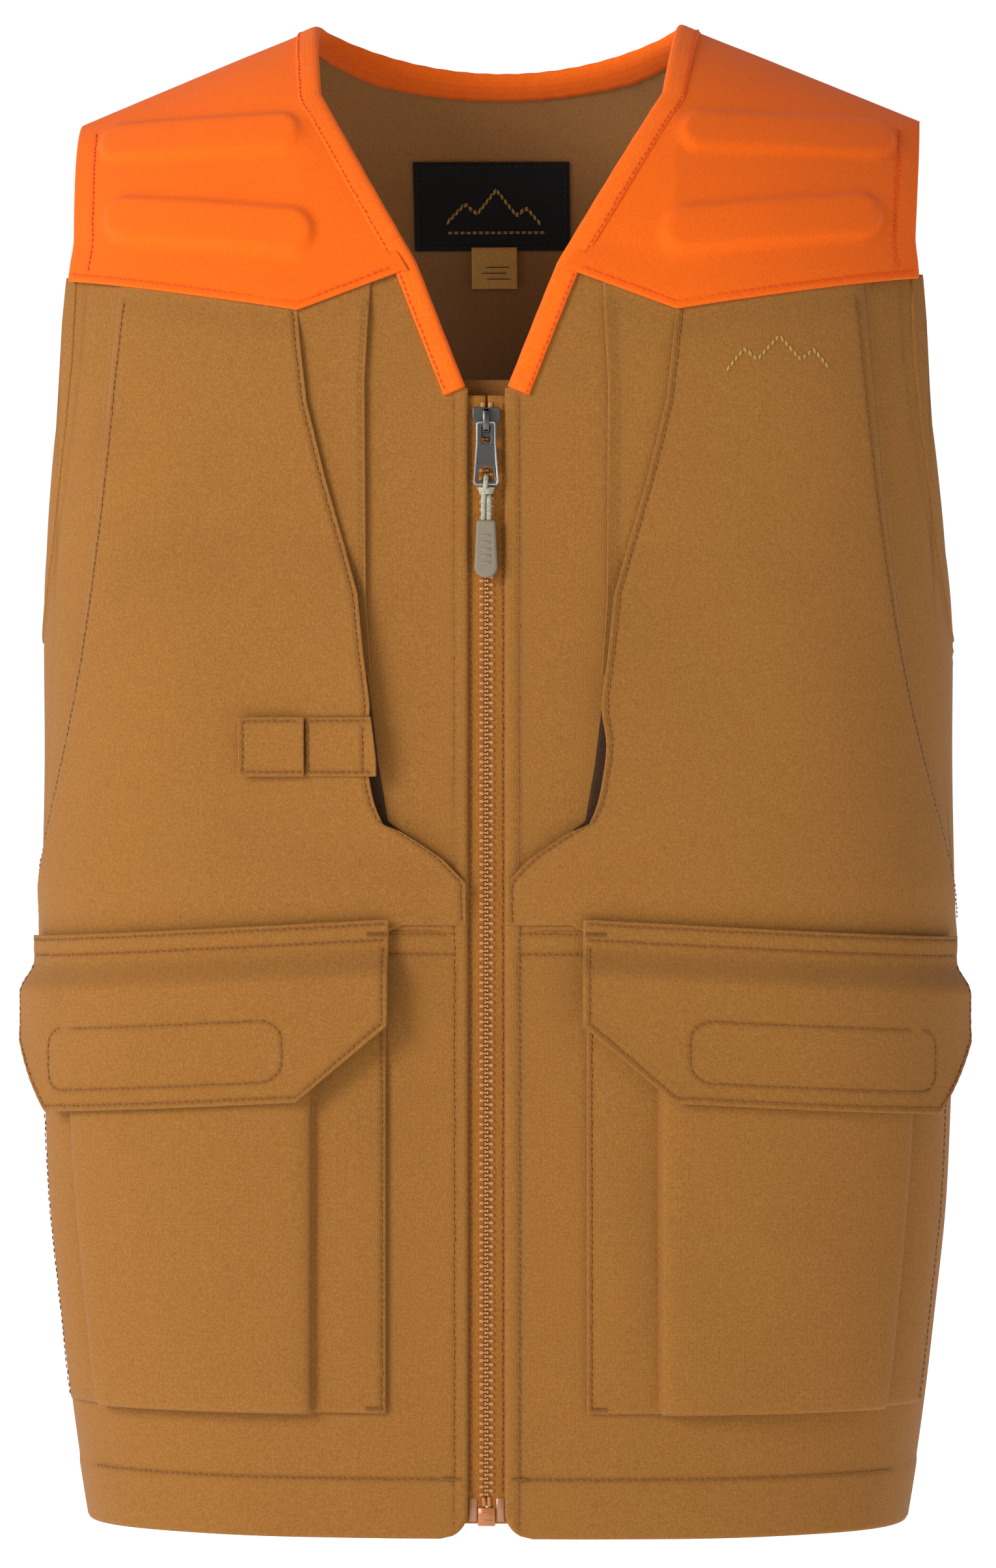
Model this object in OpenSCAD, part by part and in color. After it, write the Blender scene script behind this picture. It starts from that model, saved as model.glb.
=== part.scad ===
// Sleeveless field vest: orange shoulder yokes, tan body, front zip and two cargo pockets.
// The top of the neck is at height 0 and the front faces -Y. Left and right are as seen from the front.

/* [Body] */
// Height from the top of the neck to the hem
body_length = 724; // [600:1:860]
// Half of the chest width
chest_half = 222; // [185:1:270]
// How much narrower the hem is than the waist, on each side
hem_taper = 24; // [0:1:40]
// Chest depth from the shoulder plane to the front
front_depth = 122; // [100:1:150]
// Depth from the shoulder plane to the back
back_depth = 112; // [90:1:140]
// Squareness of the body outline seen from above
squareness = 3; // [2.4:0.1:3.6]
// Cloth thickness
cloth = 1.2; // [0.9:0.1:1.4]

/* [Shoulders and neck] */
// Half width of the neck opening at the shoulders
neck_half = 88; // [78:1:96]
// Drop of the shoulder from neck to armhole
shoulder_drop = 47; // [35:1:60]
// Width of the neck binding
binding_width = 9.6; // [8:0.2:11]
// Depth of the back neck curve
back_neck_drop = 17; // [10:1:22]
// Shoulder pad thickness
pad_thickness = 4; // [3:0.5:5]

/* [Zip] */
// Half width of the gap between the fronts
zip_gap = 8.7; // [8.2:0.1:10]
// Distance from one tooth to the next on the same side
tooth_pitch = 3.7; // [3.4:0.1:4.2]
// Length of the metal pull
pull_length = 31; // [26:1:36]
// Width of the metal pull at its lower end
pull_width = 12; // [11:0.5:14]
// Thickness of the cord loop
cord_size = 2.3; // [1.8:0.1:2.4]
// Length of the moulded tab
tab_length = 27; // [22:1:34]

/* [Pockets] */
// How far the cargo pocket stands out
pocket_depth = 7; // [6:0.5:10]
// Height of the cargo pocket
pocket_height = 224; // [190:1:240]
// Height of the cargo flap below its seam
flap_height = 72; // [60:1:80]
// Width of the sewn strip above the flap
header_height = 11; // [9:1:13]
// How far the chest pocket mouth stands open
mouth_open = 6.5; // [5.5:0.5:8]

/* [Hidden] */
// Small space kept between neighbouring layers
seat = 0.35;
stretch = body_length / 724;
spread = chest_half / 222;
shoulder_half = 204 * spread;
hem_z = -body_length;
waist_z = -400 * stretch;
front_reach = 170 * stretch;
back_reach = 150 * stretch;
ridge_y = 12;

// Chest seam above the cargo pockets, and where the side seams meet the yokes
mid_seam_z = -441 * stretch;
side_top_z = -133 * stretch;
// The zip starts where the neck opening ends
zip_top_z = -183 * stretch;

// Front edge of the armhole, as height and angle round the body
arm_line = [for (p = [[306, 90], [300, 84], [289, 79], [257, 70], [226, 66], [194, 61.7], [166, 59.5],
    [140, 58.8], [109, 58.8], [83, 60], [48, 61.7]]) [-p[0] * stretch, p[1]]];
// Inner edge of the neck opening, as height and half width
neck_line = [for (p = [[183, 10.5], [125, 33.5], [41, 82], [0, 88]])
    [-p[0] * stretch, p[1] * neck_half / 88]];
// Free edge of the chest overlay, as height and half width
mouth_line = [for (p = [[436, 9.4], [416, 9.4], [405, 20], [387, 46], [360, 50.5], [331, 54], [309, 57],
    [280, 60], [227, 75], [190, 84], [146, 89]]) [-p[0] * stretch, p[1] * spread]];
// Lower edge of the front yoke, as half width and height
yoke_line = [for (p = [[40, 128], [89, 146], [208, 127]]) [p[0] * spread, -p[1] * stretch]];

// Layers, measured outward from the body shape
lay_overlay = cloth + 2 * seat + cloth + 2 * seat;
lay_header = lay_overlay + cloth + 2 * seat;
lay_flange = cloth + 2.5 * seat;
lay_pocket = lay_flange + pocket_depth;
lay_loop = lay_pocket + cloth + seat;
strip = 0.9;
lay_hook = lay_loop + strip + seat;
lay_flap = lay_hook + strip + 1.5 * seat;

function half_width(z) =
    chest_half - hem_taper * pow(max(0, (waist_z - z) / (waist_z - hem_z)), 2);
function shoulder_z(x) =
    -max(0, abs(x) - neck_half) * shoulder_drop / (shoulder_half - neck_half);
function side_x(u, z) = half_width(z) * sign(sin(u)) * pow(abs(sin(u)), 2 / squareness);
// Angle round the body for a half width x at height z, on the front and on the back
function turn(x, z) = sign(x) * asin(pow(min(1, abs(x) / half_width(z)), squareness / 2));
function back_turn(x, z) = 180 - turn(x, z);

// Even spacing round the body: the front and the sides count alike, with the corner between them
corner = pow(sin(45), 2 / squareness);
function way(u) = u > 90 ? 4 * corner - way(180 - u) :
    u < 45 ? pow(sin(u), 2 / squareness) : 2 * corner - pow(cos(u), 2 / squareness);
function way_turn(g) = g > 2 * corner ? 180 - way_turn(4 * corner - g) :
    g < corner ? asin(pow(g, squareness / 2)) : acos(pow(2 * corner - g, squareness / 2));
function between(a, b, t) = way_turn(way(a) + (way(b) - way(a)) * t);

// A point of the body shape. Near the shoulders the front and the back close to a ridge.
function body_point(u, z) =
    let (x = side_x(u, z),
        depth = cos(u) > 0 ? -front_depth : back_depth,
        y = depth * pow(abs(cos(u)), 2 / squareness),
        reach = cos(u) > 0 ? front_reach : back_reach,
        t = min(1, max(0, (shoulder_z(x) - z) / reach)),
        q = sqrt(1 - pow(1 - t, 2)))
    [x, ridge_y + (y - ridge_y) * q, z];
function outward(u, z) =
    let (a = body_point(u + 0.4, z) - body_point(u - 0.4, z),
        b = body_point(u, z) - body_point(u, z - 1),
        n = cross(a, b))
    n / norm(n);
function lift(u, z, off) = body_point(u, z) + off * outward(u, z);
// Angle of the front side seam: low on the body it runs straight down the side
function seam_turn(z) =
    let (t = min(1, max(0, (side_top_z - z) / (side_top_z - mid_seam_z)))) 45 + 14 * t + 29 * pow(t, 4);
seam_gap = 0.07;
// Heights shared by every piece that meets the side seams, as share of the way up
chest_steps = [for (i = [0:14]) i / 14];
ridge_gap = 0.0006;
function mix(a, b, t) = a + (b - a) * t;
function steps(n) = [for (i = [0:n]) i / n];

// Closed solid from rows of [angle, height, inner offset, outer offset]
module cloth_piece(rows) {
    m = len(rows[0]);
    k = len(rows);
    size = m * k;
    points = concat(
        [for (r = rows) for (p = r) lift(p[0], p[1], p[3])],
        [for (r = rows) for (p = r) lift(p[0], p[1], p[2])]
    );
    outside = [for (r = [0:k - 2]) for (c = [0:m - 2])
        let (a = r * m + c) each [[a, a + m, a + m + 1], [a, a + m + 1, a + 1]]];
    inside = [for (f = outside) [f[0] + size, f[2] + size, f[1] + size]];
    rim = concat(
        [for (c = [0:m - 1]) c],
        [for (r = [1:k - 1]) r * m + m - 1],
        [for (c = [m - 2:-1:0]) (k - 1) * m + c],
        [for (r = [k - 2:-1:1]) r * m]
    );
    ends = [for (i = [0:len(rim) - 1])
        let (a = rim[i], b = rim[(i + 1) % len(rim)])
        each [[a, b, b + size], [a, b + size, a + size]]];
    polyhedron(points = points, faces = concat(outside, inside, ends));
}

// Rows of a flat strip between two half widths and two heights
function front_grid(left, right, low, high, across, up, inner, outer) =
    [for (v = steps(up)) [for (s = steps(across))
        let (z = mix(low, high, v), x = mix(left, right, s)) [turn(x, z), z, inner, outer]]];

function neck_x(z) = lookup(z, neck_line);
function binding_edge_x(z) = neck_x(z) + binding_width + 1.7;
function yoke_z(x) = lookup(abs(x), yoke_line);
function arm_x(z) = side_x(lookup(z, arm_line), z);
function seam_x(z) = side_x(seam_turn(z) - seam_gap, z);
function mouth_x(z) = lookup(z, mouth_line);
function inner_edge_x(z) = z < zip_top_z ? zip_gap : binding_edge_x(z + 4);

module mirrored() {
    mirror([1, 0, 0]) children();
}

// Base layer beside the zip, from the chest seam up to the yoke
module inner_front() {
    rows = [for (v = chest_steps) [for (s = steps(11))
        let (top = yoke_z(mix(binding_edge_x(-125 * stretch), seam_x(side_top_z), s)) - 1.2,
            z = mix(mid_seam_z + seat, s == 1 ? side_top_z : top, v))
        [between(turn(inner_edge_x(z), z), seam_turn(z) - seam_gap, s), z, 0, cloth]]];
    cloth_piece(rows);
}

// Folded layer behind the open edge of the chest overlay
module chest_gusset() {
    fold = 56 * spread;
    rows = [for (v = steps(8)) [for (s = steps(4))
        let (low = -300 * stretch, x = mix(fold, mix(fold + 22, 118 * spread, v), s),
            top = yoke_z(x) - 0.5,
            z = mix(low, top, v))
        [turn(x, z), z, cloth + seat * 1.5, 2 * cloth + seat * 1.5]]];
    cloth_piece(rows);
}

// How far the overlay stands off: most at the middle of its mouth
function mouth_lift(x, z) =
    let (along = max(0, 1 - pow((z + 335 * stretch) / (78 * stretch), 2)),
        away = max(0, 1 - (x - mouth_x(z)) / (75 * spread)))
    mouth_open * along * away * away;

module chest_overlay() {
    rows = [for (v = chest_steps) [for (s = steps(11))
        let (top = yoke_z(mix(89 * spread, seam_x(side_top_z), s)) - 1.2,
            z = mix(mid_seam_z + seat, s == 1 ? side_top_z : top, v),
            u = between(turn(mouth_x(z), z), seam_turn(z) - seam_gap, s),
            off = lay_overlay + mouth_lift(side_x(u, z), z))
        [u, z, off, off + cloth]]];
    cloth_piece(rows);
}

// Side piece from the front seam round to the back seam, with the armhole cut into its top
arm_shares = [0, 0.07, 0.135, 0.15, 0.19, 0.235, 0.34, 0.42, 0.5];
arm_tops = [[0, 133], [0.135, 133], [0.15, 192], [0.19, 226], [0.235, 257], [0.34, 289], [0.42, 300], [0.5, 306]];
module side_panel() {
    shares = concat(arm_shares, [for (i = [len(arm_shares) - 2:-1:0]) 1 - arm_shares[i]]);
    levels = concat([for (v = steps(5)) [hem_z, mid_seam_z, v]], [for (v = chest_steps) if (v > 0) [mid_seam_z, 0, v]]);
    rows = [for (level = levels) [for (s = shares)
        let (top = -lookup(min(s, 1 - s), arm_tops) * stretch,
            z = mix(level[0], level[1] == 0 ? top : level[1], level[2]),
            front = seam_turn(z) + seam_gap)
        [between(front, 180 - front, s), z, 0, cloth]]];
    cloth_piece(rows);
}

// Lower front with a rounded corner beside the zip
corner_r = 13;
module lower_front() {
    levels = concat([for (a = [0:15:75]) [hem_z + corner_r * (1 - cos(a)), corner_r * (1 - sin(a))]],
        [for (v = steps(8)) [mix(hem_z + corner_r, mid_seam_z, v), 0]]);
    rows = [for (p = levels) [for (s = steps(14))
        [between(turn(zip_gap + p[1], p[0]), seam_turn(p[0]) - seam_gap, s), p[0], 0, cloth]]];
    cloth_piece(rows);
}

module front_yoke() {
    rows = [for (v = [for (i = [0:9]) sin(90 * i / 9)]) [for (s = steps(10))
        let (neck_z = mix(-125 * stretch, 0, v),
            left = neck_x(neck_z) + binding_width + 0.9,
            arm_z = mix(-127 * stretch, -shoulder_drop, v),
            right = arm_x(arm_z),
            x = mix(left, right, s),
            low = yoke_z(mix(neck_x(-125 * stretch) + binding_width, 202 * spread, s)),
            high = shoulder_z(mix(neck_half + binding_width + 0.9, shoulder_half, s)) - ridge_gap,
            z = mix(low, high, v))
        [turn(x, z), z, 0, cloth]]];
    cloth_piece(rows);
}

function back_top(x) = abs(x) < neck_half ?
    -back_neck_drop * (1 - pow(x / neck_half, 2)) : shoulder_z(x);

// The back yoke leaves room for the binding at the neck
back_columns = [for (p = [[0, 11.6], [20, 11.6], [40, 11.6], [58, 11.6], [70, 11.6], [81, 11.6], [92, 9.4]])
    [p[0] * neck_half / 88, p[1]]];
module back_yoke() {
    outer = neck_half + binding_width + 2.4;
    half = concat(back_columns, [for (s = steps(6)) [mix(outer, 202 * spread, s), ridge_gap]]);
    columns = concat([for (i = [len(half) - 1:-1:1]) [-half[i][0], half[i][1]]], half);
    rows = [for (v = [for (i = [0:8]) sin(90 * i / 8)]) [for (i = [len(columns) - 1:-1:0])
        let (x = columns[i][0],
            z = mix(side_top_z + 2 * seat, back_top(x) - columns[i][1], v),
            edge = min(abs(x), arm_x(z)))
        [back_turn(sign(x) * edge, z), z, 0, cloth]]];
    cloth_piece(rows);
}

module back_panel() {
    levels = concat([for (v = steps(5)) mix(hem_z, mid_seam_z, v)],
        [for (v = chest_steps) if (v > 0) mix(mid_seam_z, side_top_z, v)]);
    rows = [for (z = levels) [for (s = [-11:11])
        let (u = between(180 - seam_turn(z) + seam_gap, 180, 1 - abs(s) / 11))
        [s < 0 ? u : 360 - u, z, 0, cloth]]];
    cloth_piece(rows);
}

// Folded band round the neck: pairs of inner edge and outer edge, from one zip end to the other
function binding_half() = concat(
    [for (i = [0:12])
        let (z = mix(zip_top_z, 0, i / 12))
        [[turn(neck_x(z), z), z], [turn(neck_x(z) + binding_width, max(zip_top_z, z - 4)), max(zip_top_z, z - 4)]]],
    [for (i = [1:6])
        let (x = neck_half * (1 - i / 6), z = back_top(x),
            wide = binding_width * (1 - i / 6), low = z - mix(4, binding_width, min(1, i / 2)))
        [[back_turn(x, z), z], [back_turn(x + wide, low), low]]]);

module neck_binding() {
    half = binding_half();
    other = [for (i = [len(half) - 2:-1:0]) [for (p = half[i]) [p[0] > 90 ? 360 - p[0] : -p[0], p[1]]]];
    path = concat(half, other);
    // The far half passes the middle of the back, so its front angles are a full turn on
    whole = [for (i = [0:len(path) - 1]) [for (p = path[i]) [p[0] < 0 ? p[0] + 360 : p[0], p[1]]]];
    cloth_piece([for (side = [1, 0]) [for (pair = whole) [pair[side][0], pair[side][1], -seat, 2 * cloth]]]);
}

module pad(left, right, low, high, slant) {
    rows = [for (v = steps(4)) [for (s = steps(8))
        let (x = mix(left, right, s) * spread,
            z = mix(low, high, v) * stretch + slant * s,
            end = min(1, min(s, 1 - s) * 8 + 0.2) * min(1, min(v, 1 - v) * 4 + 0.35))
        [turn(x, z), z, -4 * seat - pad_thickness * end, -4 * seat]]];
    cloth_piece(rows);
}

module shoulder_pads() {
    pad(90, 190, -70, -52, 0);
    pad(84, 182, -120, -99, 10);
}

module armhole_facing() {
    half = [for (i = [len(arm_line) - 1:-1:1]) arm_line[i]];
    back = [for (p = [for (i = [1:len(arm_line) - 1]) arm_line[i]]) [p[0], 180 - p[1]]];
    path = concat(half, [[arm_line[0][0], 90]], back);
    centre = -170 * stretch;
    rows = [for (v = [0, 1]) [for (p = path)
        let (u = 90 + (p[1] - 90) * mix(1, 1.22, v),
            level = centre + (p[0] - centre) * mix(1, 1.08, v),
            z = min(level, shoulder_z(side_x(u, level)) - ridge_gap))
        [u, z, -2.7 * seat - cloth, -2.7 * seat]]];
    cloth_piece([for (i = [1, 0]) rows[i]]);
}

module zip_facing() {
    low = hem_z + 34;
    cloth_piece(front_grid(zip_gap + 0.3, 30, low, zip_top_z - 12, 2, 12,
        -2 * cloth - 3 * seat, -cloth - 3 * seat));
}

module storm_flap() {
    rows = [for (v = steps(10)) [for (x = [-34, -28, -20, -12, 0, 13])
        let (z = mix(hem_z + 14, zip_top_z + 4, v),
            drop = 7.2 * max(0, min(1, (x + 28) / 16)))
        [turn(x, z), z, -3 * cloth - 5 * seat - drop, -2 * cloth - 5 * seat - drop]]];
    cloth_piece(rows);
}

module hem_facing() {
    rows = [for (v = steps(2)) [for (s = steps(12))
        let (z = mix(hem_z, hem_z + 28, v))
        [between(turn(31, z), 87.5, s), z, -2.5 * seat - cloth, -2.5 * seat]]];
    cloth_piece(rows);
}

module back_hem_facing() {
    rows = [for (v = steps(2)) [for (s = [-11:11])
        let (u = between(92, 180, 1 - abs(s) / 11))
        [s < 0 ? u : 360 - u, mix(hem_z, hem_z + 28, v), -2.5 * seat - cloth, -2.5 * seat]]];
    cloth_piece(rows);
}

// Zip: the teeth lie in the middle of the tapes, and the slider runs over them
tape_y = -front_depth + 2 * seat;
tooth_y = -front_depth - 0.45;
tooth_depth = 2.5;
teeth_top = zip_top_z - 14;
teeth_low = hem_z + 20;
tooth_height = tooth_pitch / 2 - 0.25;

module zip_tape() {
    translate([3.2, tape_y, hem_z + 7])
        cube([18, 0.7, zip_top_z - 4 - hem_z - 7]);
}

module zip_teeth(shift) {
    for (z = [teeth_low + shift:tooth_pitch:teeth_top - tooth_height])
        translate([-0.8, tooth_y, z])
            cube([3.8, tooth_depth, tooth_height]);
}

module top_stops() {
    for (x = [-3, 0.6])
        translate([x, tooth_y, zip_top_z - 11])
            cube([2.4, tooth_depth, 4]);
}

module retainer_box() {
    translate([-4.1, tooth_y - 0.6, hem_z + 6])
        cube([8.2, 1.2, 8.6]);
    translate([-2.8, tooth_y - 0.6, hem_z + 6])
        cube([5.6, 3.8, 8.6]);
    translate([-2.2, tooth_y, hem_z + 15])
        cube([4.4, tooth_depth, 4.4]);
}

module end_film() {
    for (x = [-zip_gap + 0.3, 4.5])
        translate([x, tape_y - 0.45, hem_z + 8])
            cube([zip_gap - 4.8, 0.3, 11]);
}

slider_top = zip_top_z - 9.6;
slider_length = 14;
plate = 1.6;
plate_y = tooth_y - seat - plate;
pivot_y = plate_y - 2.3;
pivot_z = slider_top - 8.4;
bar_r = 0.8;

module wing_shape(top, low) {
    polygon([[-low, -slider_length], [low, -slider_length], [top, -5], [top, 0], [1.2, 0], [0, -1.5],
        [-1.2, 0], [-top, 0], [-top, -5]]);
}

module slider_body() {
    translate([0, plate_y + plate, slider_top])
        rotate([90, 0, 0])
            linear_extrude(plate)
                wing_shape(6.5, 4.8);
    // Arch that holds the crossbar of the pull
    difference() {
        translate([-1.8, pivot_y - 2, slider_top - 12])
            cube([3.6, 4.5, 11.4]);
        translate([-3, pivot_y, pivot_z])
            rotate([0, 90, 0])
                cylinder(h = 6, r = bar_r + 0.1, $fn = 32);
    }
}

module slider_back() {
    translate([0, tooth_y + tooth_depth + seat + 1.4, slider_top])
        rotate([90, 0, 0])
            linear_extrude(1.4)
                wing_shape(6.5, 4.8);
}

pull_low = pivot_z - pull_length + 2.6;
eye_z = pull_low + 1.1;
pull_thick = 1.8;
cord_y = pivot_y;

module pull_plate() {
    half = pull_width / 2;
    translate([0, cord_y + pull_thick / 2, 0])
        rotate([90, 0, 0])
            linear_extrude(pull_thick)
                difference() {
                    polygon([[-half + 0.8, pull_low], [half - 0.8, pull_low], [half, pull_low + 1],
                        [4.5, pivot_z - 9], [4.5, pivot_z + 1.2], [-4.5, pivot_z + 1.2], [-4.5, pivot_z - 9],
                        [-half, pull_low + 1]]);
                    // Slot round the arch
                    translate([-2.2, pivot_z - 8.6])
                        square([4.4, 10]);
                    // Window for the cord
                    translate([-3.2, pull_low + 2.2])
                        square([6.4, 4.8]);
                }
    translate([-2.5, pivot_y, pivot_z])
        rotate([0, 90, 0])
            cylinder(h = 5, r = bar_r, $fn = 32);
}

cord_r = cord_size / 2;
loop_r = 2.9;
tab_top = eye_z - 17.5;
strand_x = cord_r + 0.2;
cord_path = concat(
    [for (p = [[-1, 0, -19.5], [-1, 0, -12], [-1, 0, -7.5], [-0.7, -1.5, -4.6], [-0.25, -2.6, -1.9]])
        [p[0] * strand_x, p[1], p[2]]],
    [for (a = [180:-30:0]) [0, loop_r * cos(a), loop_r * sin(a)]],
    [for (p = [[0.25, 2.6, -1.9], [0.7, 1.5, -4.6], [1, 0, -7.5], [1, 0, -12], [1, 0, -19.5]])
        [p[0] * strand_x, p[1], p[2]]]);

// Round tube along a path that stays close to the plane x = 0
module tube(path, r) {
    sides = 8;
    last = len(path) - 1;
    points = [for (i = [0:last])
        let (d = path[min(i + 1, last)] - path[max(i - 1, 0)], t = d / norm(d),
            a = cross(t, [1, 0, 0]), n = a / norm(a), b = cross(t, n))
        for (k = [0:sides - 1]) path[i] + r * (cos(45 * k) * n + sin(45 * k) * b)];
    walls = [for (i = [0:last - 1]) for (k = [0:sides - 1])
        let (a = i * sides + k, b = i * sides + (k + 1) % sides)
        each [[a, b, b + sides], [a, b + sides, a + sides]]];
    polyhedron(points = points, faces = concat(walls,
        [[for (k = [sides - 1:-1:0]) k], [for (k = [0:sides - 1]) last * sides + k]]));
}

module pull_cord() {
    translate([0, cord_y, eye_z])
        tube(cord_path, cord_r);
}

tab_foot = [for (k = steps(24)) [5.5 * cos(180 * k), 5.5 - tab_length - 5.5 * sin(180 * k)]];

module pull_tab() {
    difference() {
        translate([0, cord_y + 2.5, tab_top])
            rotate([90, 0, 0])
                linear_extrude(5)
                    polygon(concat([[-4.3, 0], [4.3, 0]], tab_foot));
        // Slot for the two strands
        translate([-strand_x - cord_r - 0.3, cord_y - cord_r - 0.3, tab_top - 4])
            cube([2 * (strand_x + cord_r + 0.3), cord_size + 0.6, 5]);
    }
}

// Cargo pocket: the flange lies on the front, the bellows wall rises and the front plate closes it
pocket_top = mid_seam_z - 30 * stretch;
pocket_low = mid_seam_z - pocket_height * stretch;
pocket_in = 47 * spread;
wall_in = 82 * spread;
wall_out = 57;
pocket_out = 74;

function pocket_u(share, z) = between(turn(wall_in, z), wall_out, share);

module pocket_front() {
    rows = [for (v = steps(8)) [for (s = steps(10))
        let (z = mix(pocket_low, pocket_top, v))
        [pocket_u(s, z), z, lay_pocket, lay_pocket + cloth]]];
    cloth_piece(rows);
}

module pocket_gusset() {
    // Rise of the bellows beside the zip and at the side, as share of the way and of the depth
    climb = [[0, 0], [0.45, 0], [0.88, 0], [1, 1]];
    top = lay_pocket - cloth - seat;
    for (outer = [false, true]) {
        rows = [for (v = steps(8)) [for (i = [0:len(climb) - 1])
            let (p = outer ? climb[len(climb) - 1 - i] : climb[i],
                z = mix(pocket_low, pocket_top, v),
                edge = outer ? pocket_out : turn(pocket_in, z),
                wall = outer ? wall_out - 0.3 : turn(wall_in + 1, z),
                off = mix(lay_flange, top, p[1]))
            [between(edge, wall, p[0]), z, off, off + cloth]]];
        cloth_piece(rows);
    }
    floor_rows = [for (p = [[0, 0], [4, 1]]) [for (s = steps(10))
        let (z = pocket_low + p[0] - 0.2, off = mix(lay_flange, top, p[1]))
        [pocket_u(mix(0.05, 0.93, s), z), z, off, off + cloth]]];
    cloth_piece(floor_rows);
}

// The flap seam falls a little toward the side
function flap_seam(x) = mid_seam_z + 8 * stretch - 0.055 * (x - pocket_in);
flap_shares = [0, 0.1, 0.2, 0.3, 0.4, 0.5, 0.6, 0.7, 0.8, 0.9, 1];

function flap_u(share, z) = between(turn(pocket_in - 1.5, z), pocket_out + 0.5, share);

module flap_header() {
    rows = [for (v = [0, 1]) [for (s = flap_shares)
        let (u = flap_u(s, mid_seam_z), x = side_x(u, mid_seam_z),
            z = flap_seam(x) - header_height * (1 - v))
        [flap_u(s, z), z, lay_header, lay_header + cloth]]];
    cloth_piece(rows);
}

// Drop of the flap edge: the two lower corners are cut off
function flap_drop(share) = flap_height - 34 * max(0, max(1 - share / 0.2, 1 - (1 - share) / 0.2));
function flap_lay(down) = mix(lay_header, lay_flap, min(1, down / 12));

module pocket_flap() {
    downs = [0, 0.07, 0.14, 0.21, 0.45, 0.7, 1];
    rows = [for (i = [len(downs) - 1:-1:0]) [for (s = flap_shares)
        let (u = flap_u(s, mid_seam_z), x = side_x(u, mid_seam_z),
            low = flap_drop(s),
            fall = downs[i] < 0.22 ? downs[i] * 66 : mix(0.21 * 66, low, (downs[i] - 0.21) / 0.79),
            z = flap_seam(x) - header_height - 0.45 - fall,
            off = flap_lay(fall))
        [flap_u(s, z), z, off, off + cloth]]];
    cloth_piece(rows);
}

module strip_piece(offset_in) {
    rows = [for (v = steps(2)) [for (s = steps(6))
        let (z = mid_seam_z - mix(68, 41, v) * stretch - 4 * s)
        [pocket_u(mix(0.08, 0.92, s), z), z, offset_in, offset_in + strip]]];
    cloth_piece(rows);
}

module neck_label() {
    rows = [for (v = steps(3)) [for (s = steps(5))
        let (z = mix(-99, -55, v) * stretch, x = mix(31, -48, s))
        [back_turn(x, z), z, -seat - 0.8, -seat]]];
    cloth_piece(rows);
}

module care_label() {
    rows = [for (v = steps(2)) [for (s = steps(2))
        let (z = mix(-118, -96, v) * stretch, x = mix(4, -19, s))
        [back_turn(x, z), z, -2 * seat - 1.3, -2 * seat - 0.8]]];
    cloth_piece(rows);
}

// Chest tab: the base is sewn to the overlay, the end beyond the stitch is free
tab_in = 51 * spread;
tab_fold = 84 * spread;
tab_out = 115 * spread;
function tab_z(share) = mix(-366, -338, share) * stretch;
function tab_rows(a, b, n, low) = [for (v = steps(2)) [for (s = steps(n))
    let (z = tab_z(v), x = mix(a, b, s), px = max(x, mouth_x(z) + 0.5),
        off = lay_overlay + cloth + mouth_lift(px, z) + low)
    [turn(px, z), z, off, off + cloth]]];

module chest_tab_base() {
    mirrored() cloth_piece(tab_rows(tab_in, tab_fold, 4, seat));
}

module chest_tab_end() {
    mirrored() cloth_piece(tab_rows(tab_fold + 0.6, tab_out, 3, 2 * strip + 3 * seat));
}

module tab_patch(level) {
    rows = [for (v = [0, 1]) [for (s = steps(2))
        let (z = mix(tab_z(0) + 3, tab_z(1) - 3, v), x = mix(tab_fold + 5, tab_out - 3, s),
            off = lay_overlay + cloth + mouth_lift(x, z) + level)
        [turn(x, z), z, off, off + strip]]];
    mirrored() cloth_piece(rows);
}

tan = [0.62, 0.42, 0.2];
tan_dark = [0.5, 0.33, 0.15];
orange = [0.97, 0.4, 0.08];
metal = [0.4, 0.4, 0.4];

color(tan_dark) mirrored() inner_front();  // left_inner_front
color(tan_dark) inner_front();  // right_inner_front
color(tan_dark) mirrored() chest_gusset();  // left_chest_gusset
color(tan_dark) chest_gusset();  // right_chest_gusset
color(tan) mirrored() chest_overlay();  // left_chest_overlay
color(tan) chest_overlay();  // right_chest_overlay
color(tan) mirrored() side_panel();  // left_side_panel
color(tan) side_panel();  // right_side_panel
color(tan) mirrored() lower_front();  // left_lower_front
color(tan) lower_front();  // right_lower_front
color(orange) mirrored() front_yoke();  // left_front_yoke
color(orange) front_yoke();  // right_front_yoke
color(tan) back_panel();
color(orange) back_yoke();
color(orange) neck_binding();
color("gray") mirrored() shoulder_pads();  // left_shoulder_pads
color("gray") shoulder_pads();  // right_shoulder_pads
color(tan_dark) mirrored() armhole_facing();  // left_armhole_facing
color(tan_dark) armhole_facing();  // right_armhole_facing
color(tan_dark) mirrored() zip_facing();  // left_zip_facing
color(tan_dark) zip_facing();  // right_zip_facing
color(tan_dark) storm_flap();
color(tan_dark) mirrored() hem_facing();  // left_hem_facing
color(tan_dark) hem_facing();  // right_hem_facing
color(tan_dark) back_hem_facing();
color(tan_dark) mirrored() zip_tape();  // left_zip_tape
color(tan_dark) zip_tape();  // right_zip_tape
color("peru") mirrored() zip_teeth(0);  // left_zip_teeth
color("peru") zip_teeth(tooth_pitch / 2);  // right_zip_teeth
color("peru") top_stops();  // zip_top_stops
color("peru") retainer_box();  // zip_retainer_box
color("peru") end_film();  // zip_end_film
color(tan) mirrored() pocket_front();  // left_pocket_front
color(tan) pocket_front();  // right_pocket_front
color(tan_dark) mirrored() pocket_gusset();  // left_pocket_gusset
color(tan_dark) pocket_gusset();  // right_pocket_gusset
color(tan) mirrored() flap_header();  // left_flap_header
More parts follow.
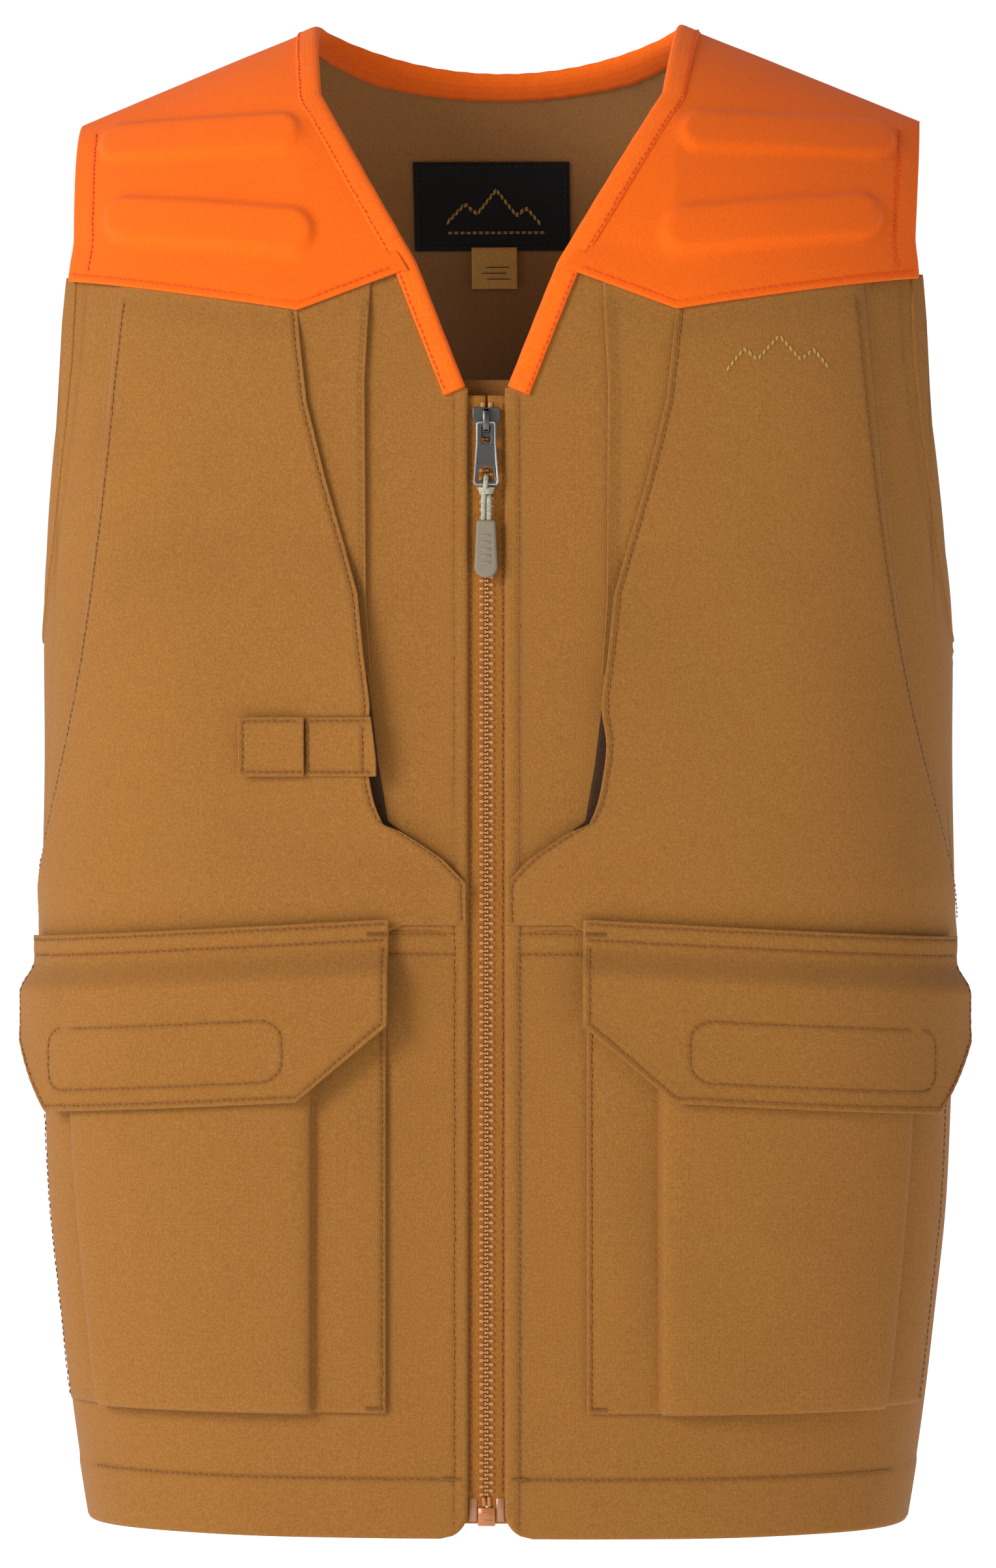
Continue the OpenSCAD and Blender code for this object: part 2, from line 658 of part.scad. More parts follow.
color(tan) flap_header();  // right_flap_header
color("gray") mirrored() strip_piece(lay_loop);  // left_loop_strip
color("gray") strip_piece(lay_loop);  // right_loop_strip
color([0.1, 0.1, 0.1]) neck_label();
color("khaki") care_label();
color(tan) chest_tab_base();
color("gray") tab_patch(seat);  // chest_tab_loop_patch
color(metal) slider_body();  // zip_slider
color(metal) slider_back();  // zip_slider_back
color(metal) pull_plate();  // zip_pull
color("wheat") pull_cord();
color("dimgray") pull_tab();
color(tan) mirrored() pocket_flap();  // left_pocket_flap
color(tan) pocket_flap();  // right_pocket_flap
color("gray") mirrored() strip_piece(lay_hook);  // left_hook_strip
color("gray") strip_piece(lay_hook);  // right_hook_strip
color(tan) chest_tab_end();
color("gray") tab_patch(strip + 2 * seat);  // chest_tab_hook_patch
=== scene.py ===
import math

import bpy
import numpy as np
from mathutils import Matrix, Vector


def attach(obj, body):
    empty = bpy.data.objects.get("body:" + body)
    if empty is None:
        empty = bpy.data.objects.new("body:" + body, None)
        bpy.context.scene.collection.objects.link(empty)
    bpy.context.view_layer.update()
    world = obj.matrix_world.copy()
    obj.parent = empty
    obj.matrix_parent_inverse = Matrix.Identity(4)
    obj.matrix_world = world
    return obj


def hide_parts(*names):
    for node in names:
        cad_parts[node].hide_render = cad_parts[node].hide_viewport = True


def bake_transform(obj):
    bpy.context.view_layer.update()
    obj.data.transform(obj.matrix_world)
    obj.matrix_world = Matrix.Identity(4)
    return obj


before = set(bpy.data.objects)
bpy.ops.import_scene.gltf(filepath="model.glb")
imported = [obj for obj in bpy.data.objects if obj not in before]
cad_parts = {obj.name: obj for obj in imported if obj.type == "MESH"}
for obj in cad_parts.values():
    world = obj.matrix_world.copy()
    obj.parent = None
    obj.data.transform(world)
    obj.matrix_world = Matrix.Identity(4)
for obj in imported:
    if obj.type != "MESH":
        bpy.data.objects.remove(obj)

bl_info = {
    "name": "Field vest",
    "version": (1, 0, 0),
    "blender": (4, 5, 0),
    "location": "View3D > Sidebar > Vest",
    "description": "Builds a sleeveless field vest over its packed frame",
    "category": "Object",
}

MM = 0.001
RNG = np.random.default_rng(7)


class VestBody(bpy.types.PropertyGroup):
    """Sizes of the body of the vest"""

    body_length: bpy.props.FloatProperty(
        name="Body length", description="Height from the neck to the hem", default=0.724, unit="LENGTH")
    chest_half: bpy.props.FloatProperty(
        name="Half chest", description="Half of the chest width", default=0.222, unit="LENGTH")
    hem_taper: bpy.props.FloatProperty(
        name="Hem taper", description="How much narrower the hem is on each side", default=0.024, unit="LENGTH")
    front_depth: bpy.props.FloatProperty(
        name="Front depth", description="Depth from the shoulders to the front", default=0.122, unit="LENGTH")
    back_depth: bpy.props.FloatProperty(
        name="Back depth", description="Depth from the shoulders to the back", default=0.112, unit="LENGTH")
    cloth: bpy.props.FloatProperty(
        name="Cloth", description="Thickness of one layer of cloth", default=0.0012, unit="LENGTH")
    neck_half: bpy.props.FloatProperty(
        name="Half neck", description="Half width of the neck opening", default=0.088, unit="LENGTH")
    shoulder_drop: bpy.props.FloatProperty(
        name="Shoulder drop", description="Fall of the shoulder from neck to armhole", default=0.047, unit="LENGTH")
    binding_width: bpy.props.FloatProperty(
        name="Binding width", description="Width of the neck binding", default=0.0096, unit="LENGTH")


class VestTrim(bpy.types.PropertyGroup):
    """Sizes of the zip, the pockets and the sewing"""

    zip_gap: bpy.props.FloatProperty(
        name="Zip gap", description="Half width of the gap between the fronts", default=0.0087, unit="LENGTH")
    tooth_pitch: bpy.props.FloatProperty(
        name="Tooth pitch", description="Distance between teeth of one side", default=0.0037, unit="LENGTH")
    pull_length: bpy.props.FloatProperty(
        name="Pull length", description="Length of the metal pull", default=0.031, unit="LENGTH")
    tab_length: bpy.props.FloatProperty(
        name="Tab length", description="Length of the moulded tab", default=0.027, unit="LENGTH")
    stitch: bpy.props.FloatProperty(
        name="Stitch", description="Length of one stitch", default=0.0031, unit="LENGTH")
    thread: bpy.props.FloatProperty(
        name="Thread", description="Thickness of the sewing thread", default=0.00055, unit="LENGTH")
    pocket_depth: bpy.props.FloatProperty(
        name="Pocket depth", description="How far the cargo pocket stands out", default=0.007, unit="LENGTH")
    flap_height: bpy.props.FloatProperty(
        name="Flap height", description="Height of the cargo flap", default=0.072, unit="LENGTH")
    mouth_open: bpy.props.FloatProperty(
        name="Mouth opening", description="How far the chest pocket mouth stands open", default=0.0065, unit="LENGTH")


def sizes():
    return bpy.context.scene.vest_body, bpy.context.scene.vest_trim


# ---------------------------------------------------------------- the body shape, in millimetres
class Shape:
    """The shape of the worn vest: a rounded box seen from above that closes at the shoulders."""

    def __init__(self):
        b, t = sizes()
        self.length, self.half = b.body_length / MM, b.chest_half / MM
        self.taper, self.front, self.back = b.hem_taper / MM, b.front_depth / MM, b.back_depth / MM
        self.cloth, self.neck, self.drop = b.cloth / MM, b.neck_half / MM, b.shoulder_drop / MM
        self.binding, self.gap = b.binding_width / MM, t.zip_gap / MM
        self.power, self.ridge = 3.0, 12.0
        self.hem, self.mid, self.side_top, self.zip_top = -self.length, -441.0, -133.0, -183.0
        self.tip = 204.0
        self.corner = math.sin(math.radians(45)) ** (2 / self.power)
        seat = 0.35
        self.lay_overlay = 2 * self.cloth + 4 * seat
        self.lay_header = self.lay_overlay + self.cloth + 2 * seat
        self.lay_flange = self.cloth + 2.5 * seat
        self.lay_pocket = self.lay_flange + t.pocket_depth / MM
        self.lay_loop = self.lay_pocket + self.cloth + seat
        self.lay_hook = self.lay_loop + 0.9 + seat
        self.lay_flap = self.lay_hook + 0.9 + 1.5 * seat
        self.mouth_open = t.mouth_open / MM

    def width(self, z):
        return self.half - self.taper * np.maximum(0, (-400 - z) / (self.length - 400)) ** 2

    def x_of(self, u, z):
        s = np.sin(np.radians(u))
        return self.width(z) * np.sign(s) * np.abs(s) ** (2 / self.power)

    def turn(self, x, z):
        share = np.minimum(1, np.abs(x) / self.width(z)) ** (self.power / 2)
        return np.sign(x) * np.degrees(np.arcsin(share))

    def back_turn(self, x, z):
        return 180 - self.turn(x, z)

    def shoulder(self, x):
        return -np.maximum(0, np.abs(x) - self.neck) * self.drop / (self.tip - self.neck)

    def base(self, u, z):
        x, c = self.x_of(u, z), np.cos(np.radians(u))
        y = np.where(c > 0, -self.front, self.back) * np.abs(c) ** (2 / self.power)
        reach = np.where(c > 0, 170.0, 150.0)
        t = np.clip((self.shoulder(x) - z) / reach, 0, 1)
        y = self.ridge + (y - self.ridge) * np.sqrt(1 - (1 - t) ** 2)
        return np.stack([x, y, z + 0 * x], -1)

    def normal(self, u, z):
        a = self.base(u + 0.4, z) - self.base(u - 0.4, z)
        b = self.base(u, z) - self.base(u, z - 1.0)
        n = np.cross(a, b)
        return n / np.linalg.norm(n, axis=-1, keepdims=True)

    def at(self, u, z, off):
        u, z, off = np.broadcast_arrays(np.asarray(u, float), np.asarray(z, float), np.asarray(off, float))
        p = self.base(u, z)
        return p + self.normal(u, z) * (off + self.drape(u, z, p))[..., None]

    def drape(self, u, z, p):
        """Soft folds that every layer shares."""
        x = p[..., 0]
        front = np.cos(np.radians(u)) > 0
        low = np.clip((-150 - z) / 120, 0, 1)
        wave = 1.4 * np.sin(x / 31 + 0.6 * np.sin(z / 90)) * np.sin(z / 118 + x / 140)
        wave += 1.2 * np.sin((x + 0.35 * z) / 46 + 1.3)
        wave += 0.5 * np.sin(x / 13 + 1.7 * np.sin(z / 47)) * np.sin(z / 39 + 0.8)
        near = np.clip((np.abs(x) - 12) / 50, 0, 1)
        still = np.exp(-(((z + 448) / 40) ** 2))
        away = np.where(front, near, 1) * low * (1 - 0.85 * still)
        return wave * away * 0.9

    def seam_turn(self, z):
        t = np.clip((self.side_top - z) / (self.side_top - self.mid), 0, 1)
        return 45 + 14 * t + 29 * t ** 4

    def seam_x(self, z):
        return self.x_of(self.seam_turn(z), z)

    def way(self, u):
        flip = u > 90
        v = np.where(flip, 180 - u, u)
        s, c = np.abs(np.sin(np.radians(v))), np.abs(np.cos(np.radians(v)))
        g = np.where(v < 45, s ** (2 / self.power), 2 * self.corner - c ** (2 / self.power))
        return np.where(flip, 4 * self.corner - g, g)

    def way_turn(self, g):
        flip = g > 2 * self.corner
        h = np.where(flip, 4 * self.corner - g, g)
        low = np.degrees(np.arcsin(np.clip(h, 0, 1) ** (self.power / 2)))
        high = np.degrees(np.arccos(np.clip(2 * self.corner - h, 0, 1) ** (self.power / 2)))
        v = np.where(h < self.corner, low, high)
        return np.where(flip, 180 - v, v)

    def between(self, a, b, t):
        ga, gb = self.way(np.asarray(a, float)), self.way(np.asarray(b, float))
        return self.way_turn(ga + (gb - ga) * t)

    def neck_x(self, z):
        return np.interp(z, [-183, -125, -41, 0], [10.5, 33.5, 82, 88])

    def yoke_z(self, x):
        return np.interp(np.abs(x), [40, 89, 208], [-128, -146, -127])

    def arm_turn(self, z):
        return np.interp(
            z,
            [-306, -303, -297, -289, -257, -226, -194, -166, -140, -109, -83, -48],
            [90, 87, 82, 78, 70, 65.6, 61.9, 59.6, 58.9, 58.9, 60, 61.7],
        )

    def mouth_x(self, z):
        return np.interp(
            z,
            [-436, -416, -405, -387, -360, -331, -309, -280, -227, -190, -146],
            [9.4, 9.4, 20, 46, 50.5, 54, 57, 60, 75, 84, 89],
        )

    def mouth_edge(self, z):
        """Free edge of the chest overlay, drawn back where the mouth stands open."""
        return self.mouth_x(z) + 5.0 * np.exp(-(((z + 364) / 24) ** 4))

    def mouth_lift(self, x, z):
        along = np.maximum(0, 1 - ((z + 335) / 78) ** 2)
        away = np.maximum(0, 1 - (x - self.mouth_x(z)) / 75)
        return self.mouth_open * along * away * away

    def back_top(self, x):
        return np.where(np.abs(x) < self.neck, -17 * (1 - (x / self.neck) ** 2), self.shoulder(x))

    def flap_seam(self, x):
        return self.mid + 8 - 0.055 * (x - 47)


# ---------------------------------------------------------------- mesh making
def mesh_object(name, points, faces, material, smooth=True, attributes=None, uv=None):
    """A mesh object from points in millimetres and faces of three or four corners."""
    mesh = bpy.data.meshes.new(name)
    points = np.asarray(points, float) * MM
    loops = np.concatenate([np.asarray(f, np.int32).reshape(-1) for f in faces])
    counts = np.concatenate([np.full(len(f), np.asarray(f).shape[1], np.int32) for f in faces])
    mesh.vertices.add(len(points))
    mesh.vertices.foreach_set("co", points.reshape(-1))
    mesh.loops.add(len(loops))
    mesh.loops.foreach_set("vertex_index", loops)
    mesh.polygons.add(len(counts))
    mesh.polygons.foreach_set("loop_start", np.concatenate([[0], np.cumsum(counts)[:-1]]).astype(np.int32))
    mesh.update(calc_edges=True)
    mesh.validate()
    if smooth:
        mesh.polygons.foreach_set("use_smooth", np.ones(len(mesh.polygons), bool))
    for key, values in (attributes or {}).items():
        layer = mesh.attributes.new(key, "FLOAT", "POINT")
        layer.data.foreach_set("value", np.asarray(values, np.float32).reshape(-1))
    if uv is not None:
        layer = mesh.uv_layers.new(name="UVMap")
        corner = np.empty(len(mesh.loops), np.int32)
        mesh.loops.foreach_get("vertex_index", corner)
        layer.data.foreach_set("uv", np.asarray(uv, float)[corner].reshape(-1))
    obj = bpy.data.objects.new(name, mesh)
    bpy.context.scene.collection.objects.link(obj)
    if material:
        mesh.materials.append(material)
    return obj


def near_paths(points, paths, reach=8.0):
    """Distance in millimetres of each point from the nearest point of the given paths."""
    best = np.full(len(points), reach, np.float32)
    for path in paths:
        for block in range(0, len(points), 4096):
            part = points[block:block + 4096].astype(np.float32)
            lo, hi = part.min(0) - reach, part.max(0) + reach
            close = path[((path > lo) & (path < hi)).all(1)].astype(np.float32)
            if len(close):
                d = np.sqrt(((part[:, None, :] - close[None]) ** 2).sum(-1)).min(1)
                best[block:block + 4096] = np.minimum(best[block:block + 4096], d)
    return best


def sheet_mesh(name, shape, u, z, low, high, material, flip, seams=(), rim=0.45, groove=0.3):
    """A closed sheet from a grid of turns and heights, with grooves along its seams. Returns the object."""
    rows, cols = u.shape
    low, high = np.broadcast_to(low, u.shape).astype(float), np.broadcast_to(high, u.shape).astype(float)
    edge = np.zeros((rows, cols), bool)
    edge[0], edge[-1], edge[:, 0], edge[:, -1] = True, True, True, True
    mid = (low + high) / 2
    high = np.where(edge, mid + (high - mid) * rim, high)
    low = np.where(edge, mid + (low - mid) * rim, low)
    outer = shape.at(u, z, high)
    inner = shape.at(u, z, low)
    normal = shape.normal(u, z)
    flat = outer.reshape(-1, 3)
    seam = near_paths(flat, seams) if len(seams) else np.full(len(flat), 8.0)
    dent = (groove * np.exp(-((seam / 1.1) ** 2))).reshape(rows, cols, 1)
    pucker = 0.1 * np.exp(-((seam / 5) ** 2)) * np.sin(flat[:, 0] * 0.9 + flat[:, 2] * 1.1)
    outer = outer - normal * dent + normal * pucker.reshape(rows, cols, 1)
    points = np.concatenate([outer.reshape(-1, 3), inner.reshape(-1, 3)])
    grid = np.arange(rows * cols).reshape(rows, cols)
    a, b, c, d = grid[:-1, :-1].ravel(), grid[:-1, 1:].ravel(), grid[1:, 1:].ravel(), grid[1:, :-1].ravel()
    n = rows * cols
    top = np.stack([a, b, c, d], 1)
    bottom = np.stack([a, d, c, b], 1) + n
    loop = np.concatenate([grid[0], grid[1:, -1], grid[-1, -2::-1], grid[-2:0:-1, 0]])
    nxt = np.roll(loop, -1)
    side = np.stack([loop, loop + n, nxt + n, nxt], 1)
    faces = np.concatenate([top, bottom, side])
    if flip:
        points = points * [-1, 1, 1]
        faces = faces[:, ::-1]
    along = np.concatenate([np.zeros((rows, 1)), np.cumsum(np.linalg.norm(np.diff(outer, axis=1), axis=2), 1)], 1)
    up = np.concatenate([np.zeros((1, cols)), np.cumsum(np.linalg.norm(np.diff(outer, axis=0), axis=2), 0)], 0)
    uv = np.stack([along.ravel(), up.ravel()], 1) / 100
    # The seam attribute darkens the cloth along its stitching in the shader: partly painted shade in the grooves,
    # partly wear
    obj = mesh_object(
        name, points, [faces], material,
        attributes={"seam": np.tile(np.exp(-((seam / 1.2) ** 2)), 2)}, uv=np.tile(uv, (2, 1)),
    )
    return obj


def resample(path, step):
    path = np.asarray(path, float)
    run = np.concatenate([[0], np.cumsum(np.linalg.norm(np.diff(path, axis=0), axis=1))])
    n = max(2, int(run[-1] / step) + 1)
    at = np.linspace(0, run[-1], n)
    return np.stack([np.interp(at, run, path[:, k]) for k in range(3)], 1)


def on_shape(shape, u, z, off):
    return resample(shape.at(np.asarray(u, float), np.asarray(z, float), off), 1.0)


def tubes(name, lines, radius, material, sides=6, taper=False, flip=False):
    """Round tubes along several lines, joined in one mesh. Every line has the same number of points."""
    lines = np.asarray(lines, float)
    count, k, _ = lines.shape
    t = np.gradient(lines, axis=1)
    t /= np.linalg.norm(t, axis=2, keepdims=True) + 1e-12
    ref = np.where(np.abs(t[..., 2:3]) > 0.9, [1.0, 0, 0], [0, 0, 1.0])
    a = np.cross(t, ref)
    a /= np.linalg.norm(a, axis=2, keepdims=True)
    b = np.cross(t, a)
    r = np.full(k, radius)
    if taper:
        r = radius * np.array([0.35, 0.9, 1.0, 0.9, 0.35])[:k] if k == 5 else r
    ang = np.arange(sides) * 2 * np.pi / sides
    ring = np.cos(ang)[None, None, :, None] * a[:, :, None] + np.sin(ang)[None, None, :, None] * b[:, :, None]
    points = (lines[:, :, None] + ring * r[None, :, None, None]).reshape(-1, 3)
    base = np.arange(count * k * sides).reshape(count, k, sides)
    nxt = np.roll(base, -1, axis=2)
    walls = np.stack([base[:, :-1], nxt[:, :-1], nxt[:, 1:], base[:, 1:]], -1).reshape(-1, 4)
    caps = np.concatenate([base[:, 0, ::-1], base[:, -1]])
    if flip:
        points = points * [-1, 1, 1]
        walls, caps = walls[:, ::-1], caps[:, ::-1]
    return mesh_object(name, points, [walls, caps], material)


def stitched(name, paths, material, flip, sink=0.0, jitter=0.12):
    """Thread along the paths, one short rounded stitch after another."""
    t = sizes()[1]
    long, thick = t.stitch / MM, t.thread / MM
    lines = []
    for path in paths:
        fine = resample(path, long / 4)
        for i in range(0, len(fine) - 4, 4):
            part = fine[i:i + 5].copy()
            part = part[0] + (part - part[0]) * 0.74
            part += RNG.normal(0, jitter, 3) * [1, 0.2, 1]
            lines.append(part)
    return tubes(name, lines, thick / 2 * 1.15, material, taper=True, flip=flip)


# ---------------------------------------------------------------- materials
def tree_for(name):
    material = bpy.data.materials.new(name)
    material.use_nodes = True
    nodes = material.node_tree.nodes
    return material, material.node_tree, nodes["Principled BSDF"]


def link(tree, a, b):
    tree.links.new(a, b)


def node(tree, kind, **values):
    made = tree.nodes.new(kind)
    for key, value in values.items():
        if key in made.inputs:
            made.inputs[key].default_value = value
        else:
            setattr(made, key, value)
    return made


def math_node(tree, kind, a, b=0.5):
    made = tree.nodes.new("ShaderNodeMath")
    made.operation = kind
    for socket, value in zip(made.inputs, (a, b)):
        if isinstance(value, (int, float)):
            socket.default_value = value
        else:
            link(tree, value, socket)
    return made.outputs[0]


def mix_node(tree, a, b, factor):
    made = tree.nodes.new("ShaderNodeMix")
    made.data_type = "RGBA"
    for socket, value in ((made.inputs[0], factor), (made.inputs[6], a), (made.inputs[7], b)):
        if isinstance(value, (int, float, tuple)):
            socket.default_value = value
        else:
            link(tree, value, socket)
    return made.outputs[2]


def rgb(r, g, b):
    """An sRGB colour of 0 to 255 as a linear one."""
    def one(c):
        c /= 255
        return c / 12.92 if c <= 0.04045 else ((c + 0.055) / 1.055) ** 2.4
    return (one(r), one(g), one(b), 1.0)


def cloth_material(name, colour, dark, light, weave=1.0, rough=0.92, sheen=0.06, wear=0.5, painted_shade=False):
    """Woven cloth: thread pattern, soft blotches, and lighter worn ridges beside darker seams; the seam darkening is
    partly painted shade in the stitched grooves and partly wear.
    """
    material, tree, shader = tree_for(name)
    uv = node(tree, "ShaderNodeUVMap", uv_map="UVMap").outputs[0]
    place = node(tree, "ShaderNodeTexCoord").outputs["Object"]
    blotch = node(tree, "ShaderNodeTexNoise", Scale=14.0, Detail=5.0, Roughness=0.6)
    link(tree, place, blotch.inputs["Vector"])
    fine = node(tree, "ShaderNodeTexNoise", Scale=420.0, Detail=3.0, Roughness=0.7)
    link(tree, place, fine.inputs["Vector"])
    # Threads of warp and weft
    across = node(tree, "ShaderNodeTexWave", wave_type="BANDS", bands_direction="X", Scale=26.0, Distortion=1.2)
    upward = node(tree, "ShaderNodeTexWave", wave_type="BANDS", bands_direction="Y", Scale=30.0, Distortion=1.0)
    link(tree, uv, across.inputs["Vector"])
    link(tree, uv, upward.inputs["Vector"])
    threads = math_node(tree, "MULTIPLY", across.outputs["Fac"], upward.outputs["Fac"])
    slub = node(tree, "ShaderNodeTexNoise", Scale=1.0, Detail=2.0)
    stretched = node(tree, "ShaderNodeMapping")
    stretched.inputs["Scale"].default_value = (3.0, 90.0, 1.0)
    link(tree, uv, stretched.inputs["Vector"])
    link(tree, stretched.outputs[0], slub.inputs["Vector"])
    base = mix_node(tree, dark, colour, math_node(tree, "MULTIPLY_ADD", blotch.outputs[0], 1.1))
    base = mix_node(tree, base, light, math_node(tree, "MULTIPLY", fine.outputs[0], 0.3 * wear))
    fleck = node(tree, "ShaderNodeTexNoise", Scale=1000.0, Detail=2.0, Roughness=0.8)
    link(tree, place, fleck.inputs["Vector"])
    spot = node(tree, "ShaderNodeMapRange")
    for socket, value in zip(list(spot.inputs)[1:5], (0.51, 0.66, 0.0, 0.8 * wear)):
        socket.default_value = value
    link(tree, fleck.outputs[0], spot.inputs[0])
    base = mix_node(tree, base, light, spot.outputs[0])
    deep = node(tree, "ShaderNodeMapRange")
    for socket, value in zip(list(deep.inputs)[1:5], (0.49, 0.35, 0.0, 0.8 * wear)):
        socket.default_value = value
    link(tree, fleck.outputs[0], deep.inputs[0])
    base = mix_node(tree, base, dark, deep.outputs[0])
    base = mix_node(tree, base, light, math_node(tree, "MULTIPLY", slub.outputs[0], 0.22 * wear))
    base = mix_node(tree, base, dark, math_node(tree, "MULTIPLY", threads, 0.28 * weave))
    # Darker along the seams: partly painted shade in the stitched grooves, partly wear
    seam = node(tree, "ShaderNodeAttribute", attribute_name="seam").outputs["Fac"]
    base = mix_node(tree, base, dark, math_node(tree, "MULTIPLY", seam, 0.4))
    if painted_shade:
        # Painted shade: darker with depth below the neck, standing in for the shadow inside the back
        height = node(tree, "ShaderNodeSeparateXYZ")
        link(tree, place, height.inputs[0])
        depth = node(tree, "ShaderNodeMapRange")
        for socket, value in zip(list(depth.inputs)[1:5], (-0.045, -0.19, 0.0, 0.8)):
            socket.default_value = value
        link(tree, height.outputs[2], depth.inputs[0])
        base = mix_node(tree, base, rgb(44, 28, 16), depth.outputs[0])
    link(tree, base, shader.inputs["Base Color"])
    height = math_node(tree, "ADD", math_node(tree, "MULTIPLY", threads, 0.6),
                       math_node(tree, "MULTIPLY", fine.outputs[0], 0.8))
    bump = node(tree, "ShaderNodeBump", Strength=0.28, Distance=0.0004)
    link(tree, height, bump.inputs["Height"])
    link(tree, bump.outputs[0], shader.inputs["Normal"])
    shader.inputs["Roughness"].default_value = rough
    shader.inputs["Specular IOR Level"].default_value = 0.18
    shader.inputs["Sheen Weight"].default_value = sheen
    shader.inputs["Sheen Roughness"].default_value = 0.6
    return material


def plain_material(name, colour, rough, metal=0.0, speck=0.15, spec=0.4, bump=0.12, scale=300.0, dark=None):
    """A solid material with faint mottling and fine surface grain."""
    material, tree, shader = tree_for(name)
    place = node(tree, "ShaderNodeTexCoord").outputs["Object"]
    noise = node(tree, "ShaderNodeTexNoise", Scale=scale, Detail=4.0, Roughness=0.6)
    link(tree, place, noise.inputs["Vector"])
    deep = dark or tuple(c * 0.45 for c in colour[:3]) + (1.0,)
    base = mix_node(tree, colour, deep, math_node(tree, "MULTIPLY", noise.outputs[0], speck * 2))
    link(tree, base, shader.inputs["Base Color"])
    link(tree, math_node(tree, "MULTIPLY_ADD", noise.outputs[0], 0.2), shader.inputs["Roughness"])
    tree.nodes[-1].inputs[2].default_value = rough - 0.1
    shader.inputs["Metallic"].default_value = metal
    shader.inputs["Specular IOR Level"].default_value = spec
    grain = node(tree, "ShaderNodeBump", Strength=bump, Distance=0.0002)
    link(tree, noise.outputs[0], grain.inputs["Height"])
    link(tree, grain.outputs[0], shader.inputs["Normal"])
    return material


def materials():
    """Every material by name, made once."""
    if "vest tan" not in bpy.data.materials:
        cloth_material("vest tan", rgb(147, 95, 37), rgb(116, 70, 24), rgb(174, 125, 63))
        # A darker copy of the tan: painted shade for the storm flap behind the zip
        cloth_material("vest tan shade", rgb(138, 89, 35), rgb(106, 64, 22), rgb(160, 114, 58))
        cloth_material("vest orange", rgb(240, 98, 7), rgb(222, 78, 3), rgb(252, 128, 30), weave=0.5, wear=0.3,
                sheen=0.04)
        cloth_material("vest binding", rgb(250, 104, 12), rgb(232, 80, 4), rgb(255, 136, 40), weave=1.0, wear=0.4,
                sheen=0.04)
        cloth_material("vest lining", rgb(164, 114, 60), rgb(128, 84, 42), rgb(182, 134, 80))
        # The neck lining gets painted shade that darkens it towards the bottom
        cloth_material("vest neck lining", rgb(158, 110, 58), rgb(124, 82, 42), rgb(178, 130, 78), painted_shade=True)
        # Dark pocket lining colour: painted shadow for the open chest pocket mouth
        cloth_material("vest inside", rgb(62, 38, 18), rgb(34, 20, 9), rgb(80, 52, 26))
        cloth_material("vest tape", rgb(152, 94, 32), rgb(122, 68, 20), rgb(182, 124, 56), weave=1.6)
        cloth_material("vest label", rgb(16, 16, 18), rgb(6, 6, 7), rgb(34, 34, 36), weave=1.2, rough=0.7,
                sheen=0.03)
        cloth_material("vest care", rgb(186, 142, 66), rgb(156, 112, 48), rgb(204, 166, 92), weave=0.4, rough=0.6)
        cloth_material("vest hook", rgb(108, 72, 34), rgb(66, 42, 18), rgb(140, 98, 52), weave=2.0, wear=1.0)
        cloth_material("vest cord", rgb(168, 166, 146), rgb(118, 116, 98), rgb(196, 194, 176), weave=1.5, wear=1.0)
        plain_material("vest thread", rgb(140, 90, 36), 0.7, speck=0.2)
        plain_material("vest orange thread", rgb(236, 76, 10), 0.7, speck=0.15)
        plain_material("vest dark thread", rgb(32, 32, 34), 0.6, speck=0.1)
        plain_material("vest gold thread", rgb(190, 150, 70), 0.5, speck=0.2)
        plain_material("vest teeth", rgb(186, 130, 74), 0.32, speck=0.12, spec=0.5)
        plain_material("vest box", rgb(184, 112, 60), 0.22, speck=0.1, spec=0.6)
        plain_material("vest film", rgb(176, 118, 80), 0.25, speck=0.1, spec=0.6)
        plain_material("vest metal", rgb(104, 102, 101), 0.36, metal=0.95, speck=0.3, scale=500.0)
        plain_material("vest bright metal", rgb(196, 195, 192), 0.25, metal=0.95, speck=0.15, scale=500.0)
        plain_material("vest rubber", rgb(134, 122, 102), 0.62, speck=0.1, scale=700.0)
        plain_material("vest foam", rgb(60, 60, 60), 0.9, speck=0.3)
    return {m.name[5:]: m for m in bpy.data.materials if m.name.startswith("vest ")}


SIDES = (("left", True), ("right", False))


def done(obj, body, nodes=()):
    """Puts a finished piece on its body and hides the frame parts that it stands for."""
    if nodes:
        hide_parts(*nodes)
    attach(obj, body)
    return obj


def grid(rows, cols):
    return np.meshgrid(np.linspace(0, 1, rows), np.linspace(0, 1, cols), indexing="ij")


def add_stitches(name, paths, body, flip, material="thread"):
    obj = stitched(name, paths, materials()[material], flip)
    done(obj, body)
    return obj


# ---------------------------------------------------------------- the pieces
def arm_path(shape, off, inset, back=False, low=-306.0):
    z = np.concatenate([np.linspace(-46, -296, 60), np.linspace(-297, low, 6)]) if low <= -300 else np.linspace(-46,
            low, 40)
    u = shape.arm_turn(z)
    k = 1 + inset / 38
    u2, z2 = 90 + (u - 90) * k, -170 + (z + 170) * (1 + inset / 140)
    z2 = np.minimum(z2, shape.shoulder(shape.x_of(u2, z2)) - 1)
    return on_shape(shape, 180 - u2 if back else u2, z2, off)


def pressed(shape, x, z, off, flat):
    """Stand-off of a layer that is pressed flat where the yoke seam holds it."""
    share = np.clip((z - shape.yoke_z(x) + 18) / 16, 0, 1)
    share = share * share * (3 - 2 * share)
    return off + (flat - off) * share


